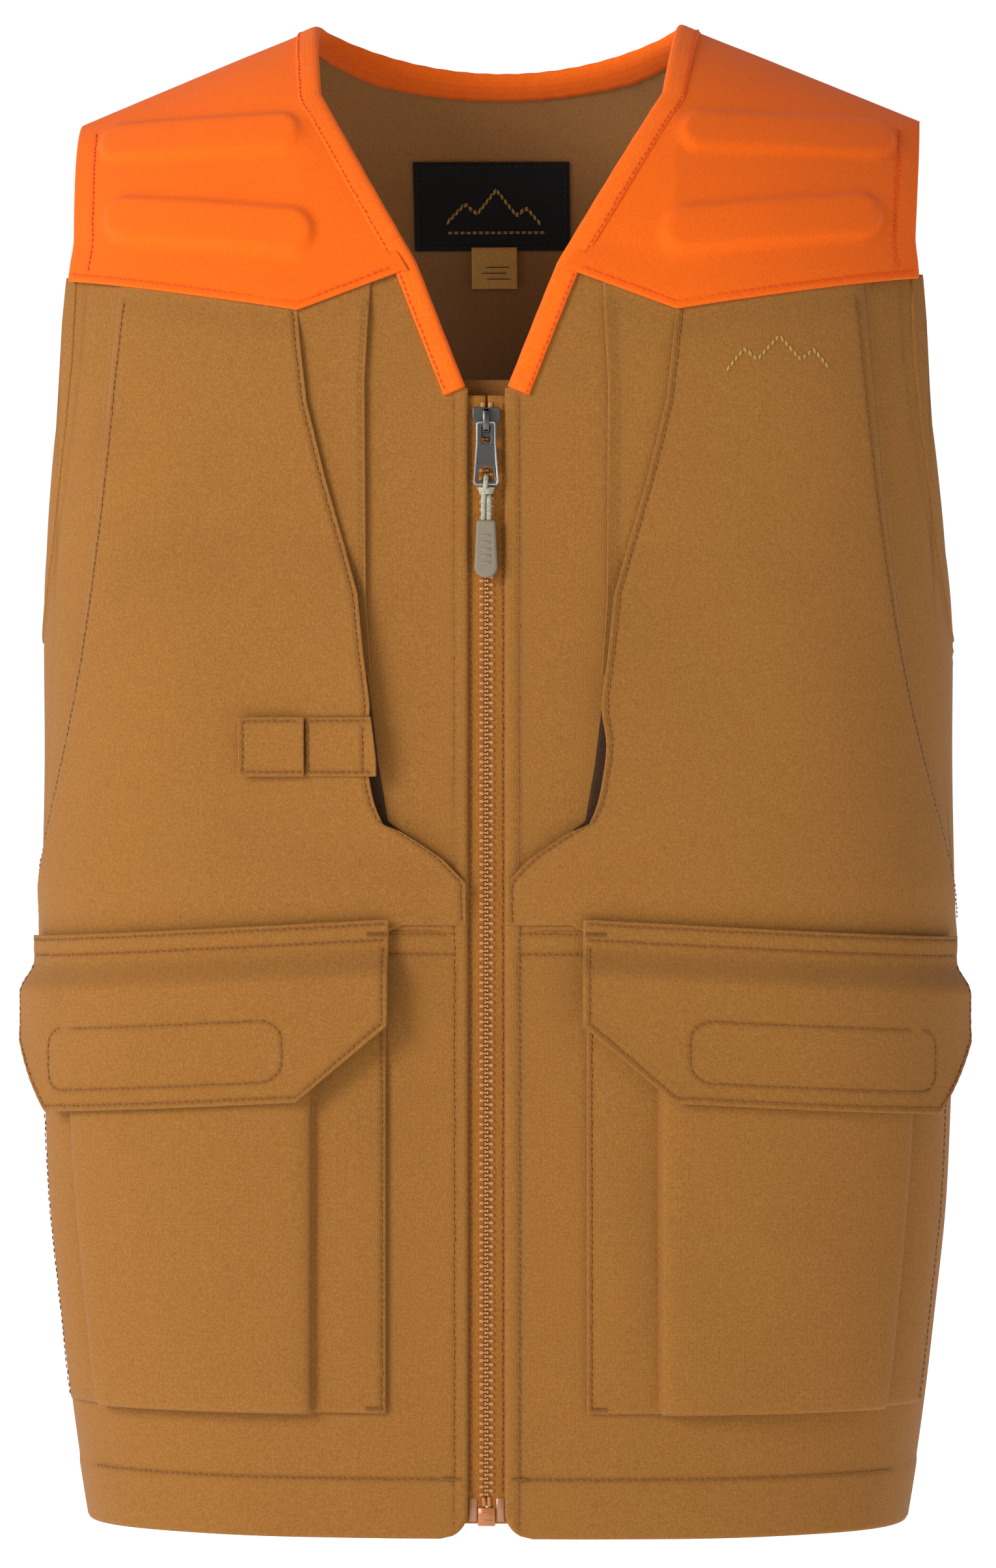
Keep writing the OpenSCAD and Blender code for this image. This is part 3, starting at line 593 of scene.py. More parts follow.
def build_inner_front(shape, side, flip):
    v, s = grid(230, 130)
    z = -447 + v * (447 - 121)
    left = np.where(z < shape.zip_top, shape.gap, shape.neck_x(z) + 4)
    u = shape.between(shape.turn(left, z), shape.seam_turn(z) + 1.5, s)
    x = shape.x_of(u, z)
    top = shape.yoke_z(x) + 6
    z = np.minimum(z, top)
    fold = 0.7 * (1 / (1 + np.exp((x - 15.2) / 0.7))) * (z < -178)
    zs = np.linspace(-436, -186, 200)
    rows = [on_shape(shape, shape.turn(15.3, zs), zs, shape.cloth + 0.1)]
    obj = sheet_mesh(f"{side}_inner_front", shape, u, z, 0, shape.cloth + fold, materials()["tan"], flip, rows)
    done(obj, "shell", [f"{side}_inner_front"])
    add_stitches(f"{side}_front_edge_stitching", rows, "shell", flip)


def build_gusset(shape, side, flip):
    v, s = grid(130, 64)
    z = -318 + v * (318 - 126)
    fold = np.interp(z, [-318, -283, -180, -126], [54, 56.5, 57, 54])
    x = fold + s * np.interp(z, [-318, -283, -126], [30, 26, 60])
    z = np.minimum(z, shape.yoke_z(x) + 6)
    off = pressed(shape, x, z, 1.7 + 1.3 * np.exp(-s * 12), 1.3)
    zs = np.linspace(-284, -140, 120)
    rows = [on_shape(shape, shape.turn(np.interp(zs, [-318, -283, -180, -126], [54, 56.5, 57, 54]) + 3.2, zs), zs,
            5.0)]
    obj = sheet_mesh(f"{side}_chest_gusset", shape, shape.turn(x, z), z, off, off + shape.cloth, materials()["tan"],
            flip, rows)
    done(obj, "shell", [f"{side}_chest_gusset"])
    # Pocket bag lining in a dark colour: painted shadow inside the open mouth, behind the overlay's edge
    v, s = grid(90, 24)
    z = -398 + v * 116
    x = shape.mouth_x(z) + 0.4 + 34 * s
    shadow_bag = sheet_mesh(f"{side}_chest_pocket_lining", shape, shape.turn(x, z), z, 1.35, 1.7, materials()["inside"],
            flip)
    done(shadow_bag, "shell")
    add_stitches(f"{side}_gusset_stitching", rows, "shell", flip)


def overlay_off(shape, x, z):
    """Stand-off of the chest overlay: open at the mouth, and a soft roll all along its free edge."""
    edge = np.maximum(0, x - shape.mouth_x(z))
    high = np.clip((z + 284) / 60, 0, 1)
    roll = 1.2 * np.exp(-edge / 16) * np.clip((z + 400) / 30, 0, 1)
    off = shape.lay_overlay - 0.6 + shape.mouth_lift(x, z) + roll * (0.35 + 0.65 * high)
    low = np.clip((z + 436) / 22, 0, 1)
    low = low * low * (3 - 2 * low)
    return pressed(shape, x, z, 1.35 + (off - 1.35) * low, 2.0)


def build_overlay(shape, side, flip):
    v, s = grid(250, 170)
    z = -436 + v * (436 - 121)
    u = shape.between(shape.turn(shape.mouth_edge(z), z), shape.seam_turn(z) - 0.05, s ** 1.15)
    x = shape.x_of(u, z)
    hidden = np.clip((x - 40) / 8, 0, 1) * (4 + 0.055 * np.maximum(0, x - 47))
    z2 = np.minimum(z - hidden * (1 - v) ** 6, shape.yoke_z(x) + 6)
    off = overlay_off(shape, x, z2)
    seam = shape.seam_turn(z2)
    off = off - (off - 0.9) * np.clip((u - seam + 4) / 4, 0, 1) ** 2
    zs = np.linspace(-434, -140, 260)
    def line(u_line, z_line, extra=0.1):
        x_line = shape.x_of(u_line, z_line)
        o = overlay_off(shape, x_line, z_line)
        o = o - (o - 0.9) * np.clip((u_line - shape.seam_turn(z_line) + 4) / 4, 0, 1) ** 2
        return on_shape(shape, u_line, z_line, o + shape.cloth + extra)
    step = 6.5 / 222
    rows = [
        line(shape.turn(shape.mouth_edge(zs) + 2.6, zs), zs),
        line(shape.way_turn(shape.way(shape.seam_turn(zs)) - step * 0.7), zs),
    ]
    obj = sheet_mesh(f"{side}_chest_overlay", shape, u, z2, off, off + shape.cloth, materials()["tan"], flip, rows,
            rim=0.7)
    done(obj, "shell", [f"{side}_chest_overlay"])
    add_stitches(f"{side}_overlay_stitching", rows, "shell", flip)


def build_side_panel(shape, side, flip):
    shares = np.array([0, 0.135, 0.15, 0.19, 0.235, 0.34, 0.42, 0.5])
    tops = -np.array([126, 126, 192, 226, 257, 289, 300, 306])
    v, s = grid(300, 130)
    near = np.minimum(s, 1 - s)
    top = np.interp(near, shares, tops)
    z = shape.hem + v * (top - shape.hem)
    front = shape.seam_turn(z) - 1.0
    u = shape.between(front, 180 - front, s)
    rows = [arm_path(shape, shape.cloth + 0.1, 4.5), arm_path(shape, shape.cloth + 0.1, 4.5, back=True)]
    obj = sheet_mesh(f"{side}_side_panel", shape, u, z, -0.5, shape.cloth - 0.5, materials()["tan"], flip, rows)
    done(obj, "shell", [f"{side}_side_panel"])


def build_lower_front(shape, side, flip):
    v, s = grid(220, 170)
    z = shape.hem + v * (285.0 + 1)
    corner = 13 * (1 - np.sqrt(1 - np.clip(1 - (z - shape.hem) / 13, 0, 1) ** 2))
    u = shape.between(shape.turn(shape.gap + corner, z), shape.seam_turn(np.minimum(z, shape.mid)) + 0.5, s)
    x = shape.x_of(u, z)
    fold = 0.7 * (1 / (1 + np.exp((x - 15.2) / 0.7)))
    fold = fold + 0.6 / (1 + np.exp((z - shape.hem - 28) / 0.8))
    lift = 0.5 * np.clip((z + 452) / 10, 0, 1) * np.clip((x - 14) / 12, 0, 1)
    c = shape.cloth + 0.1
    zs = np.linspace(-436, shape.hem + 3, 260)
    xs = np.linspace(15.5, 48, 40)
    xh = np.linspace(16, 190, 160)
    hem_z = np.full(160, shape.hem + 28.0)
    rows = [
        on_shape(shape, shape.turn(15.3, zs), zs, c + 0.6),
        on_shape(shape, shape.turn(xh, hem_z), hem_z, c + 0.5),
        on_shape(shape, shape.turn(xs, -440 + 0 * xs), -440 + 0 * xs, c + 0.4),
        on_shape(shape, shape.turn(xs, -449.5 + 0 * xs), -449.5 + 0 * xs, c + 0.3),
    ]
    obj = sheet_mesh(f"{side}_lower_front", shape, u, z, 0, shape.cloth + fold + lift, materials()["tan"], flip,
            rows)
    done(obj, "shell", [f"{side}_lower_front"])
    add_stitches(f"{side}_lower_front_stitching", rows, "shell", flip)


def pad_rise(x, z):
    """How much the shoulder pads raise the yoke over them."""
    rise = 0 * x
    for left, right, low, high, slant in ((90, 190, -70, -52, 0), (84, 182, -120, -99, 10)):
        s = (x - left) / (right - left)
        mid = (low + high) / 2 + slant * s
        dx = np.maximum(0, np.abs(x - (left + right) / 2) - (right - left) / 2 + 9)
        dz = np.abs(z - mid)
        d = np.sqrt(dx ** 2 + dz ** 2)
        rise = rise + 3.3 / (1 + np.exp((d - (high - low) / 2 - 0.3) / 0.9))
    return rise


def yoke_off(shape, x, z):
    """Stand-off of the yoke: over the layers at its seam, lower above, raised over the pads."""
    seam = np.clip(1 - (z - shape.yoke_z(x)) / 22, 0, 1)
    return 1.1 + 2.2 * seam * seam * (3 - 2 * seam) + pad_rise(x, z)


def build_yoke(shape, side, flip):
    v, s = grid(150, 150)
    w = np.sin(v * np.pi / 2)
    neck_z = -125 + 125 * w
    left = shape.neck_x(neck_z) + 3
    arm_z = -127 + (127 - shape.drop) * w
    right = shape.x_of(shape.arm_turn(arm_z), arm_z) + 0.5
    x = left + (right - left) * s
    low = shape.yoke_z(left[0, 0] + (right[0, 0] - left[0, 0]) * s) - 1.0
    high = shape.shoulder(91 + (shape.tip - 91) * s) + 0.0
    z = low + (high - 0.0005 - low) * w
    crease = 0.9 * np.sin((x * 0.8 - z * 1.1) / 17) * np.exp(-(((x - 100) / 26) ** 2)) * np.clip(-z / 30, 0, 1)
    off = yoke_off(shape, x, z) + crease * 0.6
    x_line = np.linspace(46, 199, 160)
    z_line = shape.yoke_z(x_line)
    rows = []
    for up in (2.4,):
        rise = yoke_off(shape, x_line, z_line + up)
        rows.append(on_shape(shape, shape.turn(x_line, z_line + up), z_line + up, rise + shape.cloth + 0.1))
    z_arm = np.linspace(-125, -54, 80)
    arm_x = shape.x_of(shape.arm_turn(z_arm), z_arm) - 9.5
    rows.append(on_shape(shape, shape.turn(arm_x, z_arm), z_arm,
                         yoke_off(shape, arm_x, z_arm) + shape.cloth + 0.1))
    obj = sheet_mesh(f"{side}_front_yoke", shape, shape.turn(x, z), z, off, off + shape.cloth,
            materials()["orange"], flip, rows, rim=0.8)
    done(obj, "shell", [f"{side}_front_yoke"])
    add_stitches(f"{side}_yoke_stitching", rows, "shell", flip, "orange thread")


def build_pads(shape, side, flip):
    for k, (left, right, low, high, slant) in enumerate(((90, 190, -70, -52, 0), (84, 182, -120, -99, 10))):
        v, s = grid(24, 60)
        x = left + (right - left) * s
        z = low + (high - low) * v + slant * s
        end = np.sqrt(np.clip(1 - np.clip(1 - np.minimum(s, 1 - s) * 10, 0, 1) ** 2, 0, 1))
        end = end * np.sqrt(np.clip(1 - (2 * v - 1) ** 4, 0.02, 1))
        obj = sheet_mesh(f"{side}_shoulder_pad_{k + 1}", shape, shape.turn(x, z), z,
                         -1.2 - 4 * end, -1.2 + 0 * x, materials()["foam"], flip)
        if k == 0:
            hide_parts(f"{side}_shoulder_pads")
        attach(obj, "shell")


def build_back(shape):
    v, s = grid(260, 240)
    for name, low, high in (("back_panel", shape.hem, -128.0),):
        z = low + v * (high - low)
        front = shape.seam_turn(z) + 1.2
        half = shape.between(180 - front, 180.0 + 0 * z, 1 - np.abs(2 * s - 1))
        u = np.where(s < 0.5, half, 360 - half)
        fold = 0.6 / (1 + np.exp((z - shape.hem - 28) / 0.8))
        xs = np.linspace(-178, 178, 300)
        hz = np.full(300, shape.hem + 28.0)
        rows = [on_shape(shape, shape.back_turn(xs, hz), hz, shape.cloth + 0.6)]
        obj = sheet_mesh(name, shape, u, z, 0, shape.cloth + fold, materials()["tan"], False, rows)
        done(obj, "shell", [name])
        add_stitches("back_hem_stitching", rows, "shell", False)
    v, s = grid(110, 200)
    w = np.sin(v * np.pi / 2)
    x = (2 * s - 1) * 202
    cut = np.interp(np.abs(x), [0, 84, 90, 96], [4.5, 4.5, 3.0, 0.0])
    top = shape.back_top(x) - cut - 0.0005
    z = shape.side_top - 3 + w * (top - shape.side_top + 3)
    edge = np.minimum(np.abs(x), shape.x_of(shape.arm_turn(z), z) + 0.5)
    u = shape.back_turn(np.sign(x) * edge, z)[:, ::-1]
    off = 0.9 + 0.8 * np.clip((-z - 20) / 40, 0, 1)[:, ::-1]
    xs = np.linspace(-198, 198, 300)
    rows = [on_shape(shape, shape.back_turn(xs, shape.side_top + up + 0 * xs), shape.side_top + up + 0 * xs,
            1.7 + shape.cloth + 0.1) for up in (-0.5, 6.0)]
    obj = sheet_mesh("back_yoke", shape, u, z[:, ::-1], off, off + shape.cloth, materials()["orange"], False, rows,
            rim=0.8)
    done(obj, "shell", ["back_yoke"])
    add_stitches("back_yoke_stitching", rows, "shell", False, "orange thread")
    # Lining of the back yoke, seen through the neck; its material carries painted shade, darker towards the bottom
    v, s = grid(60, 120)
    w = np.sin(v * np.pi / 2)
    x = (2 * s - 1) * 180
    top = shape.back_top(x) - 6.5
    z = -245 + w * (top + 245)
    obj = sheet_mesh("back_neck_lining", shape, shape.back_turn(x, z)[:, ::-1], z[:, ::-1], -1.6, -0.8,
            materials()["neck lining"], False)
    done(obj, "shell")


def build_binding(shape):
    """Folded band over the neck edge, from one zip end round the back to the other."""
    pairs = []
    for t in np.linspace(0, 1, 90):
        z = -183 + 183 * t
        x = float(shape.neck_x(z))
        edge = (float(shape.turn(x, z)), z)
        out = (float(shape.turn(x + shape.binding, z - 4)), z - 4)
        pairs.append((edge, out))
    for t in np.linspace(0.02, 1, 60):
        x = shape.neck * (1 - t)
        z = float(shape.back_top(np.array(x)))
        low = z - (4 + (shape.binding - 4) * min(1, t * 3))
        wide = shape.binding * (1 - t)
        pairs.append(((float(shape.back_turn(x, z)), z), (float(shape.back_turn(x + wide, low)), low)))
    def points(pair, off, share):
        a = shape.at(pair[0][0], pair[0][1], off)
        b = shape.at(pair[1][0], pair[1][1], off)
        return a + (b - a) * share
    # Cross-section of the fold, as share of the width and height off the cloth
    section = [(1.0, 2.1), (0.985, 3.0), (0.9, 3.35), (0.6, 3.5), (0.3, 3.6), (0.1, 3.4), (0.0, 2.6), (-0.06, 1.4),
               (0.0, 0.1), (0.1, -1.6), (0.35, -2.6), (0.8, -2.8), (0.98, -2.5), (1.0, -0.3)]
    ribs = np.array([[points(p, o, s) for s, o in section] for p in pairs])
    mirror = ribs[:-1][::-1] * [-1, 1, 1]
    ribs = np.concatenate([ribs, mirror])
    ribs += 0.12 * np.sin(np.arange(len(ribs)) * 0.9)[:, None, None] * [0, 0, 1]
    n, k = ribs.shape[:2]
    base = np.arange(n * k).reshape(n, k)
    nxt = np.roll(base, -1, axis=1)
    walls = np.stack([base[:-1], base[1:], nxt[1:], nxt[:-1]], -1).reshape(-1, 4)
    caps = [np.array([base[0]]), np.array([base[-1][::-1]])]
    run = np.concatenate([[0], np.cumsum(np.linalg.norm(np.diff(ribs[:, 3], axis=0), axis=1))])
    uv = np.stack(np.broadcast_arrays(run[:, None], np.linspace(0, 20, k)[None]), -1).reshape(-1, 2) / 100
    # The seam attribute darkens the outer edge, where the band meets the cloth: partly painted shade in that crease,
    # partly wear
    seam = np.tile([0.5, 0.35, 0.1] + [0.0] * (k - 3), n)
    obj = mesh_object("neck_binding", ribs.reshape(-1, 3), [walls, *caps], materials()["binding"],
            attributes={"seam": seam}, uv=uv)
    done(obj, "shell", ["neck_binding"])
    line = []
    for p in pairs:
        line.append(points(p, 3.55, 0.86))
    line = np.array(line)
    whole = np.concatenate([line, line[:-1][::-1] * [-1, 1, 1]])
    add_stitches("binding_stitching", [whole], "shell", False, "orange thread")


def build_facings(shape, side, flip):
    m = materials()
    v, s = grid(8, 170)
    path_z = np.interp(s[0], np.linspace(0, 0.5, 12), [-46, -83, -109, -140, -166, -194, -226, -257, -289, -297,
            -303, -306])
    path_z = np.where(s[0] > 0.5, path_z[::-1], path_z)
    edge_u = shape.arm_turn(path_z)
    edge_u = np.where(s[0] > 0.5, 180 - edge_u, edge_u)
    k = 1 - 0.005 + 0.22 * (1 - v)
    u = 90 + (edge_u - 90) * k
    z = -170 + (path_z + 170) * (1 + 0.075 * (1 - v))
    z = np.minimum(z, shape.shoulder(shape.x_of(u, z)) - 0.001)
    obj = sheet_mesh(f"{side}_armhole_facing", shape, u, z, -1.9, -0.7, m["lining"], flip)
    done(obj, "shell", [f"{side}_armhole_facing"])
    # Folded edge round the armhole
    lines = []
    for back in (False, True):
        lines.append(arm_path(shape, 0.5, 0.0, back)[:300])
    for j, line in enumerate(lines):
        tube = tubes(f"{side}_armhole_edge_{j + 1}", [resample(line, 2.0)], 1.15, m["tan"], sides=10, flip=flip)
        done(tube, "shell")
    v, s = grid(60, 8)
    z = shape.hem + 34 + v * (shape.zip_top - 12 - shape.hem - 34)
    u = shape.turn(shape.gap + 0.3 + s * 21, z)
    obj = sheet_mesh(f"{side}_zip_facing", shape, u, z, -3.4, -2.3, m["lining"], flip)
    done(obj, "shell", [f"{side}_zip_facing"])
    v, s = grid(8, 70)
    z = shape.hem + 28 * v
    u = shape.between(shape.turn(31.0, z), 87.5 + 0 * z, s)
    obj = sheet_mesh(f"{side}_hem_facing", shape, u, z, -2.1, -0.9, m["lining"], flip)
    done(obj, "shell", [f"{side}_hem_facing"])


def build_common_facings(shape):
    m = materials()
    v, s = grid(120, 30)
    x = -34 + 47 * s
    z = shape.hem + 14 + v * (shape.zip_top + 4 - shape.hem - 14)
    drop = 7.2 * np.clip((x + 28) / 16, 0, 1)
    # The storm flap takes the darker tan copy as painted shade behind the zip
    obj = sheet_mesh("storm_flap", shape, shape.turn(x, z), z, -5.4 - drop, -4.2 - drop, m["tan shade"], False)
    done(obj, "shell", ["storm_flap"])
    v, s = grid(8, 160)
    z = shape.hem + 28 * v
    half = shape.between(92.0 + 0 * z, 180.0 + 0 * z, 1 - np.abs(2 * s - 1))
    obj = sheet_mesh("back_hem_facing", shape, np.where(s < 0.5, half, 360 - half), z, -2.1, -0.9, m["lining"],
            False)
    done(obj, "shell", ["back_hem_facing"])


def build_pocket(shape, side, flip):
    m = materials()
    low, top = shape.mid - 224, shape.mid - 30
    wall_out, pocket_out = 57.0, 74.0
    def pocket_u(share, z):
        return shape.between(shape.turn(82.0, z), wall_out, share)
    v, s = grid(150, 110)
    z = low + v * (top - low)
    swell = 3.0 * np.sin(np.pi * np.clip(s, 0, 1)) ** 0.6 * np.sin(np.pi * np.clip(v * 0.8 + 0.12, 0, 1)) ** 0.7
    edge_drop = 2.2 * (np.exp(-s * 34) + np.exp(-(1 - s) * 34)) + 1.0 * np.exp(-v * 40)
    off = shape.lay_pocket + 0.55 * swell * (v < 2) - edge_drop
    off = np.where(v > 0.72, np.minimum(off, shape.lay_pocket + 0.1 + (1 - v) * 4), off)
    obj = sheet_mesh(f"{side}_pocket_front", shape, pocket_u(s, z), z, off, off + shape.cloth, m["tan"], flip, [],
            rim=0.5)
    done(obj, "shell", [f"{side}_pocket_front"])
    # Bellows: flat flange, then the fold that rises under the edge of the front
    parts = []
    rows = []
    for outer in (False, True):
        v, s = grid(110, 40)
        z = low + v * (top - low)
        edge = np.full(z.shape, pocket_out) if outer else shape.turn(47.0, z)
        wall = np.full(z.shape, wall_out - 0.6) if outer else shape.turn(83.5, z)
        rise = np.clip((s - 0.93) / 0.07, 0, 1)
        off = shape.lay_flange + 0.5 + rise * (shape.lay_pocket - shape.cloth - shape.lay_flange - 2.6)
        u = shape.between(edge, wall, s)
        bulge = 0.9 * np.sin(np.pi * np.clip(s / 0.9, 0, 1)) * np.clip(v * 6, 0, 1)
        off = off + bulge
        if outer:
            u, off = u[:, ::-1], off[:, ::-1]
        zs = np.linspace(low + 2, top, 120)
        line_u = shape.way_turn(shape.way(np.full(120, pocket_out)) - 0.012) if outer else shape.turn(49.2, zs)
        path = on_shape(shape, line_u, zs, shape.lay_flange + 0.5 + shape.cloth + 0.35)
        rows.append(path)
        piece = sheet_mesh(f"{side}_pocket_gusset_{'outer' if outer else 'inner'}", shape, u, z, off,
                off + shape.cloth, m["tan"], flip, [path])
        parts.append(piece)
    done(parts[0], "shell", [f"{side}_pocket_gusset"])
    done(parts[1], "shell")
    v, s = grid(10, 90)
    z = low - 1.0 + 6 * v
    off = shape.lay_flange + v ** 0.7 * (shape.lay_pocket - shape.lay_flange - 0.6)
    u = pocket_u(s, z)
    limit = np.minimum(1, np.minimum(s, 1 - s) * 16)
    off = shape.lay_flange + 0.3 + (off - shape.lay_flange) * limit
    floor = sheet_mesh(f"{side}_pocket_floor", shape, u, z, off, off + shape.cloth, m["tan"], flip)
    done(floor, "shell")
    for k, (level, thing) in enumerate(((shape.lay_loop, "loop"), (shape.lay_hook, "hook"))):
        v, s = grid(20, 60)
        z = shape.mid - 68 + 27 * v - 4 * s
        piece = sheet_mesh(f"{side}_{thing}_strip", shape, pocket_u(0.08 + 0.84 * s, z), z, level, level + 0.9,
                m["hook"], flip)
        done(piece, "shell" if k == 0 else f"{side}_flap", [f"{side}_{thing}_strip"])
    add_stitches(f"{side}_pocket_stitching", rows, "shell", flip)


def flap_low(shape, share, height):
    return height - 34 * np.maximum(0, np.maximum(1 - share / 0.2, 1 - (1 - share) / 0.2))


def build_flap(shape, side, flip):
    t = sizes()[1]
    m = materials()
    height, header = t.flap_height / MM, 11.0
    def flap_u(share, z):
        return shape.between(shape.turn(45.5, z), 74.5, share)
    def seam_at(share):
        x = shape.x_of(flap_u(share, np.full(np.shape(share), shape.mid)), shape.mid)
        return shape.flap_seam(x)
    line_s = np.linspace(0.012, 0.988, 240)
    rows = []
    for down in (2.2, header - 1.4):
        zl = seam_at(line_s) - down
        rows.append(on_shape(shape, flap_u(line_s, zl), zl, shape.lay_header + shape.cloth + 0.2))
    add_stitches(f"{side}_header_stitching", rows, "shell", flip)
    # One cloth from the seam to the free edge: the header and the flap below its fold
    v, s = grid(110, 170)
    low = flap_low(shape, s, height)
    fall = (1 - v) * (low + header + 0.5) - header - 0.5
    z = seam_at(s) - header - 0.5 - fall
    header_rows = rows

    def flap_off(share, down, bottom):
        rise = np.clip(down / 16, 0, 1)
        smooth = rise * rise * (3 - 2 * rise)
        curl = 1.3 * np.exp(-(bottom - down) / 10) * np.clip(down / 20, 0, 1)
        return shape.lay_header + (shape.lay_flap - shape.lay_header) * smooth + curl * 0.8

    off = flap_off(s, fall, low)
    rows = []
    inset = 2.6
    # Topstitch round the free edge
    t_line = np.concatenate([
        np.stack([np.full(30, 0.014), np.linspace(0.05, 1, 30) * (height - 34 - 1)], 1),
        np.stack([np.linspace(0.016, 0.2, 40), np.linspace(height - 34 - 1, height - inset, 40)], 1),
        np.stack([np.linspace(0.2, 0.8, 90), np.full(90, height - inset)], 1),
        np.stack([np.linspace(0.8, 0.984, 40), np.linspace(height - inset, height - 34 - 1, 40)], 1),
        np.stack([np.full(30, 0.986), np.linspace(1, 0.05, 30) * (height - 34 - 1)], 1),
    ])
    def stitch_path(pairs, lift=0.15):
        share, down = pairs[:, 0], pairs[:, 1]
        zl = seam_at(share) - header - 0.5 - down
        return on_shape(shape, flap_u(share, zl), zl, flap_off(share, down, flap_low(shape, share,
                height)) + shape.cloth + lift)
    rows.append(stitch_path(t_line))
    # Stitching that holds the strip behind
    a0, a1, d0, d1 = 0.23, 0.78, 33.0, 62.0
    corner = np.linspace(0, np.pi / 2, 8)
    rx, rz = 0.05, 9.0
    box = []
    for cx, cz, start in ((a1 - rx, d0 + rz, 0), (a1 - rx, d1 - rz, 1), (a0 + rx, d1 - rz, 2), (a0 + rx, d0 + rz,
            3)):
        for c in corner:
            ang = c + start * np.pi / 2 - np.pi / 2
            box.append((cx + rx * np.cos(ang), cz + rz * np.sin(ang)))
    box.append(box[0])
    box = np.array(box)
    dense = np.concatenate([np.linspace(box[i], box[i + 1], 12, endpoint=False) for i in range(len(box) - 1)])
    rows.append(stitch_path(dense))
    obj = sheet_mesh(f"{side}_pocket_flap", shape, flap_u(s, z), z, off, off + shape.cloth, m["tan"], flip,
                     rows + header_rows, rim=0.75, groove=0.16)
    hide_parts(f"{side}_pocket_flap", f"{side}_flap_header")
    middle = seam_at(np.array(0.5))
    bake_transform(obj)
    add_stitches(f"{side}_flap_stitching", rows, f"{side}_flap", flip)


def build_chest_tab(shape):
    m = materials()
    def tab_off(x, z, low):
        return overlay_off(shape, x, z) + shape.cloth + low
    rows_base, rows_end = [], []
    def sheet(name, x0, x1, low, body, node_name, rows, lift=0.0):
        v, s = grid(36, 50)
        z = -366 + 28 * v
        x = x0 + (x1 - x0) * s
        x = np.maximum(x, shape.mouth_x(z) + 0.3)
        away = lift * ((x - 84) / 31).clip(0, 1) ** 1.5
        obj = sheet_mesh(name, shape, shape.turn(x, z), z, tab_off(x, z, low + away), tab_off(x, z,
                low + away) + shape.cloth, m["tan"], True, rows, rim=0.6)
        done(obj, body, [node_name])
    def line(points, low, lift=0.0):
        x, z = points[:, 0], points[:, 1]
        away = lift * ((x - 84) / 31).clip(0, 1) ** 1.5
        return on_shape(shape, shape.turn(x, z), z, tab_off(x, z, low + away) + shape.cloth + 0.15)
    def run(*corners):
        return np.concatenate([np.linspace(a, b, 40) for a, b in zip(corners[:-1], corners[1:])])
    rows_base = [line(run((54, -364), (83, -364), (83, -340), (54, -340)), 0.35), line(run((57.5, -364), (57.5,
            -340)), 0.35)]
    rows_end = [line(run((86, -364), (113, -364), (113, -340), (86, -340)), 2.5, 1.5)]
    sheet("chest_tab_base", 51, 84.2, 0.35, "shell", "chest_tab_base", rows_base)
    sheet("chest_tab_end", 84.6, 115, 2.5, "chest_tab", "chest_tab_end", rows_end, 1.5)
    add_stitches("chest_tab_base_stitching", rows_base, "shell", True)
    add_stitches("chest_tab_end_stitching", rows_end, "chest_tab", True)
    for name, low, body in (("chest_tab_loop_patch", 0.35, "shell"), ("chest_tab_hook_patch", 1.45, "chest_tab")):
        v, s = grid(12, 12)
        z = -363 + 22 * v
        x = 89 + 23 * s
        obj = sheet_mesh(name, shape, shape.turn(x, z), z, tab_off(x, z, low), tab_off(x, z, low) + 0.8, m["hook"],
                True)
        done(obj, body, [name])


def build_labels(shape):
    m = materials()
    v, s = grid(40, 60)
    z = -99 + 44 * v
    x = 31 - 79 * s
    obj = sheet_mesh("neck_label", shape, shape.back_turn(x, z), z, -3.0, -2.2, m["label"], False)
    done(obj, "shell", ["neck_label"])
    def path(points):
        return on_shape(shape, shape.back_turn(points[:, 0], points[:, 1]), points[:, 1], -3.25)
    corners = [(28.6, -97), (28.6, -57), (-45.6, -57), (-45.6, -97), (28.6, -97)]
    ring = np.concatenate([np.linspace(a, b, 60) for a, b in zip(corners[:-1], corners[1:])])
    add_stitches("neck_label_border", [path(ring)], "shell", False, "dark thread")
    # Plain woven motif: a mountain line over a bar, in place of a name
    peaks = np.array([(16, -86), (9, -78), (4, -82), (-6, -69), (-16, -81), (-22, -76), (-32, -86)], float)
    zig = np.concatenate([np.linspace(a, b, 20) for a, b in zip(peaks[:-1], peaks[1:])])
    lines = [path(zig + [0, d]) for d in (0, 0.7, 1.4)]
    bar = np.array([(18, -90.0), (-34, -90.0)])
    lines += [path(np.linspace(bar[0] + [0, d], bar[1] + [0, d], 60)) for d in (0, 0.7)]
    obj = stitched("neck_label_motif", lines, m["gold thread"], False, jitter=0.03)
    done(obj, "shell")
    v, s = grid(20, 20)
    z = -118 + 21 * v
    x = 4 - 23 * s
    obj = sheet_mesh("care_label", shape, shape.back_turn(x, z), z, -3.9, -3.4, m["care"], False)
    done(obj, "shell", ["care_label"])
    # Lines that stand for the printed care notes, with no words
    lines = []
    for k, wide in enumerate((15, 12, 16)):
        zz = -107.0 - 3.0 * k
        xs = np.linspace(-7.5 + wide / 2, -7.5 - wide / 2, 30)
        lines.append(on_shape(shape, shape.back_turn(xs, zz + 0 * xs), zz + 0 * xs, -4.0))
    obj = tubes("care_label_lines", [resample(l, 1.0)[:12] for l in lines], 0.22, m["dark thread"], sides=4)
    done(obj, "shell")


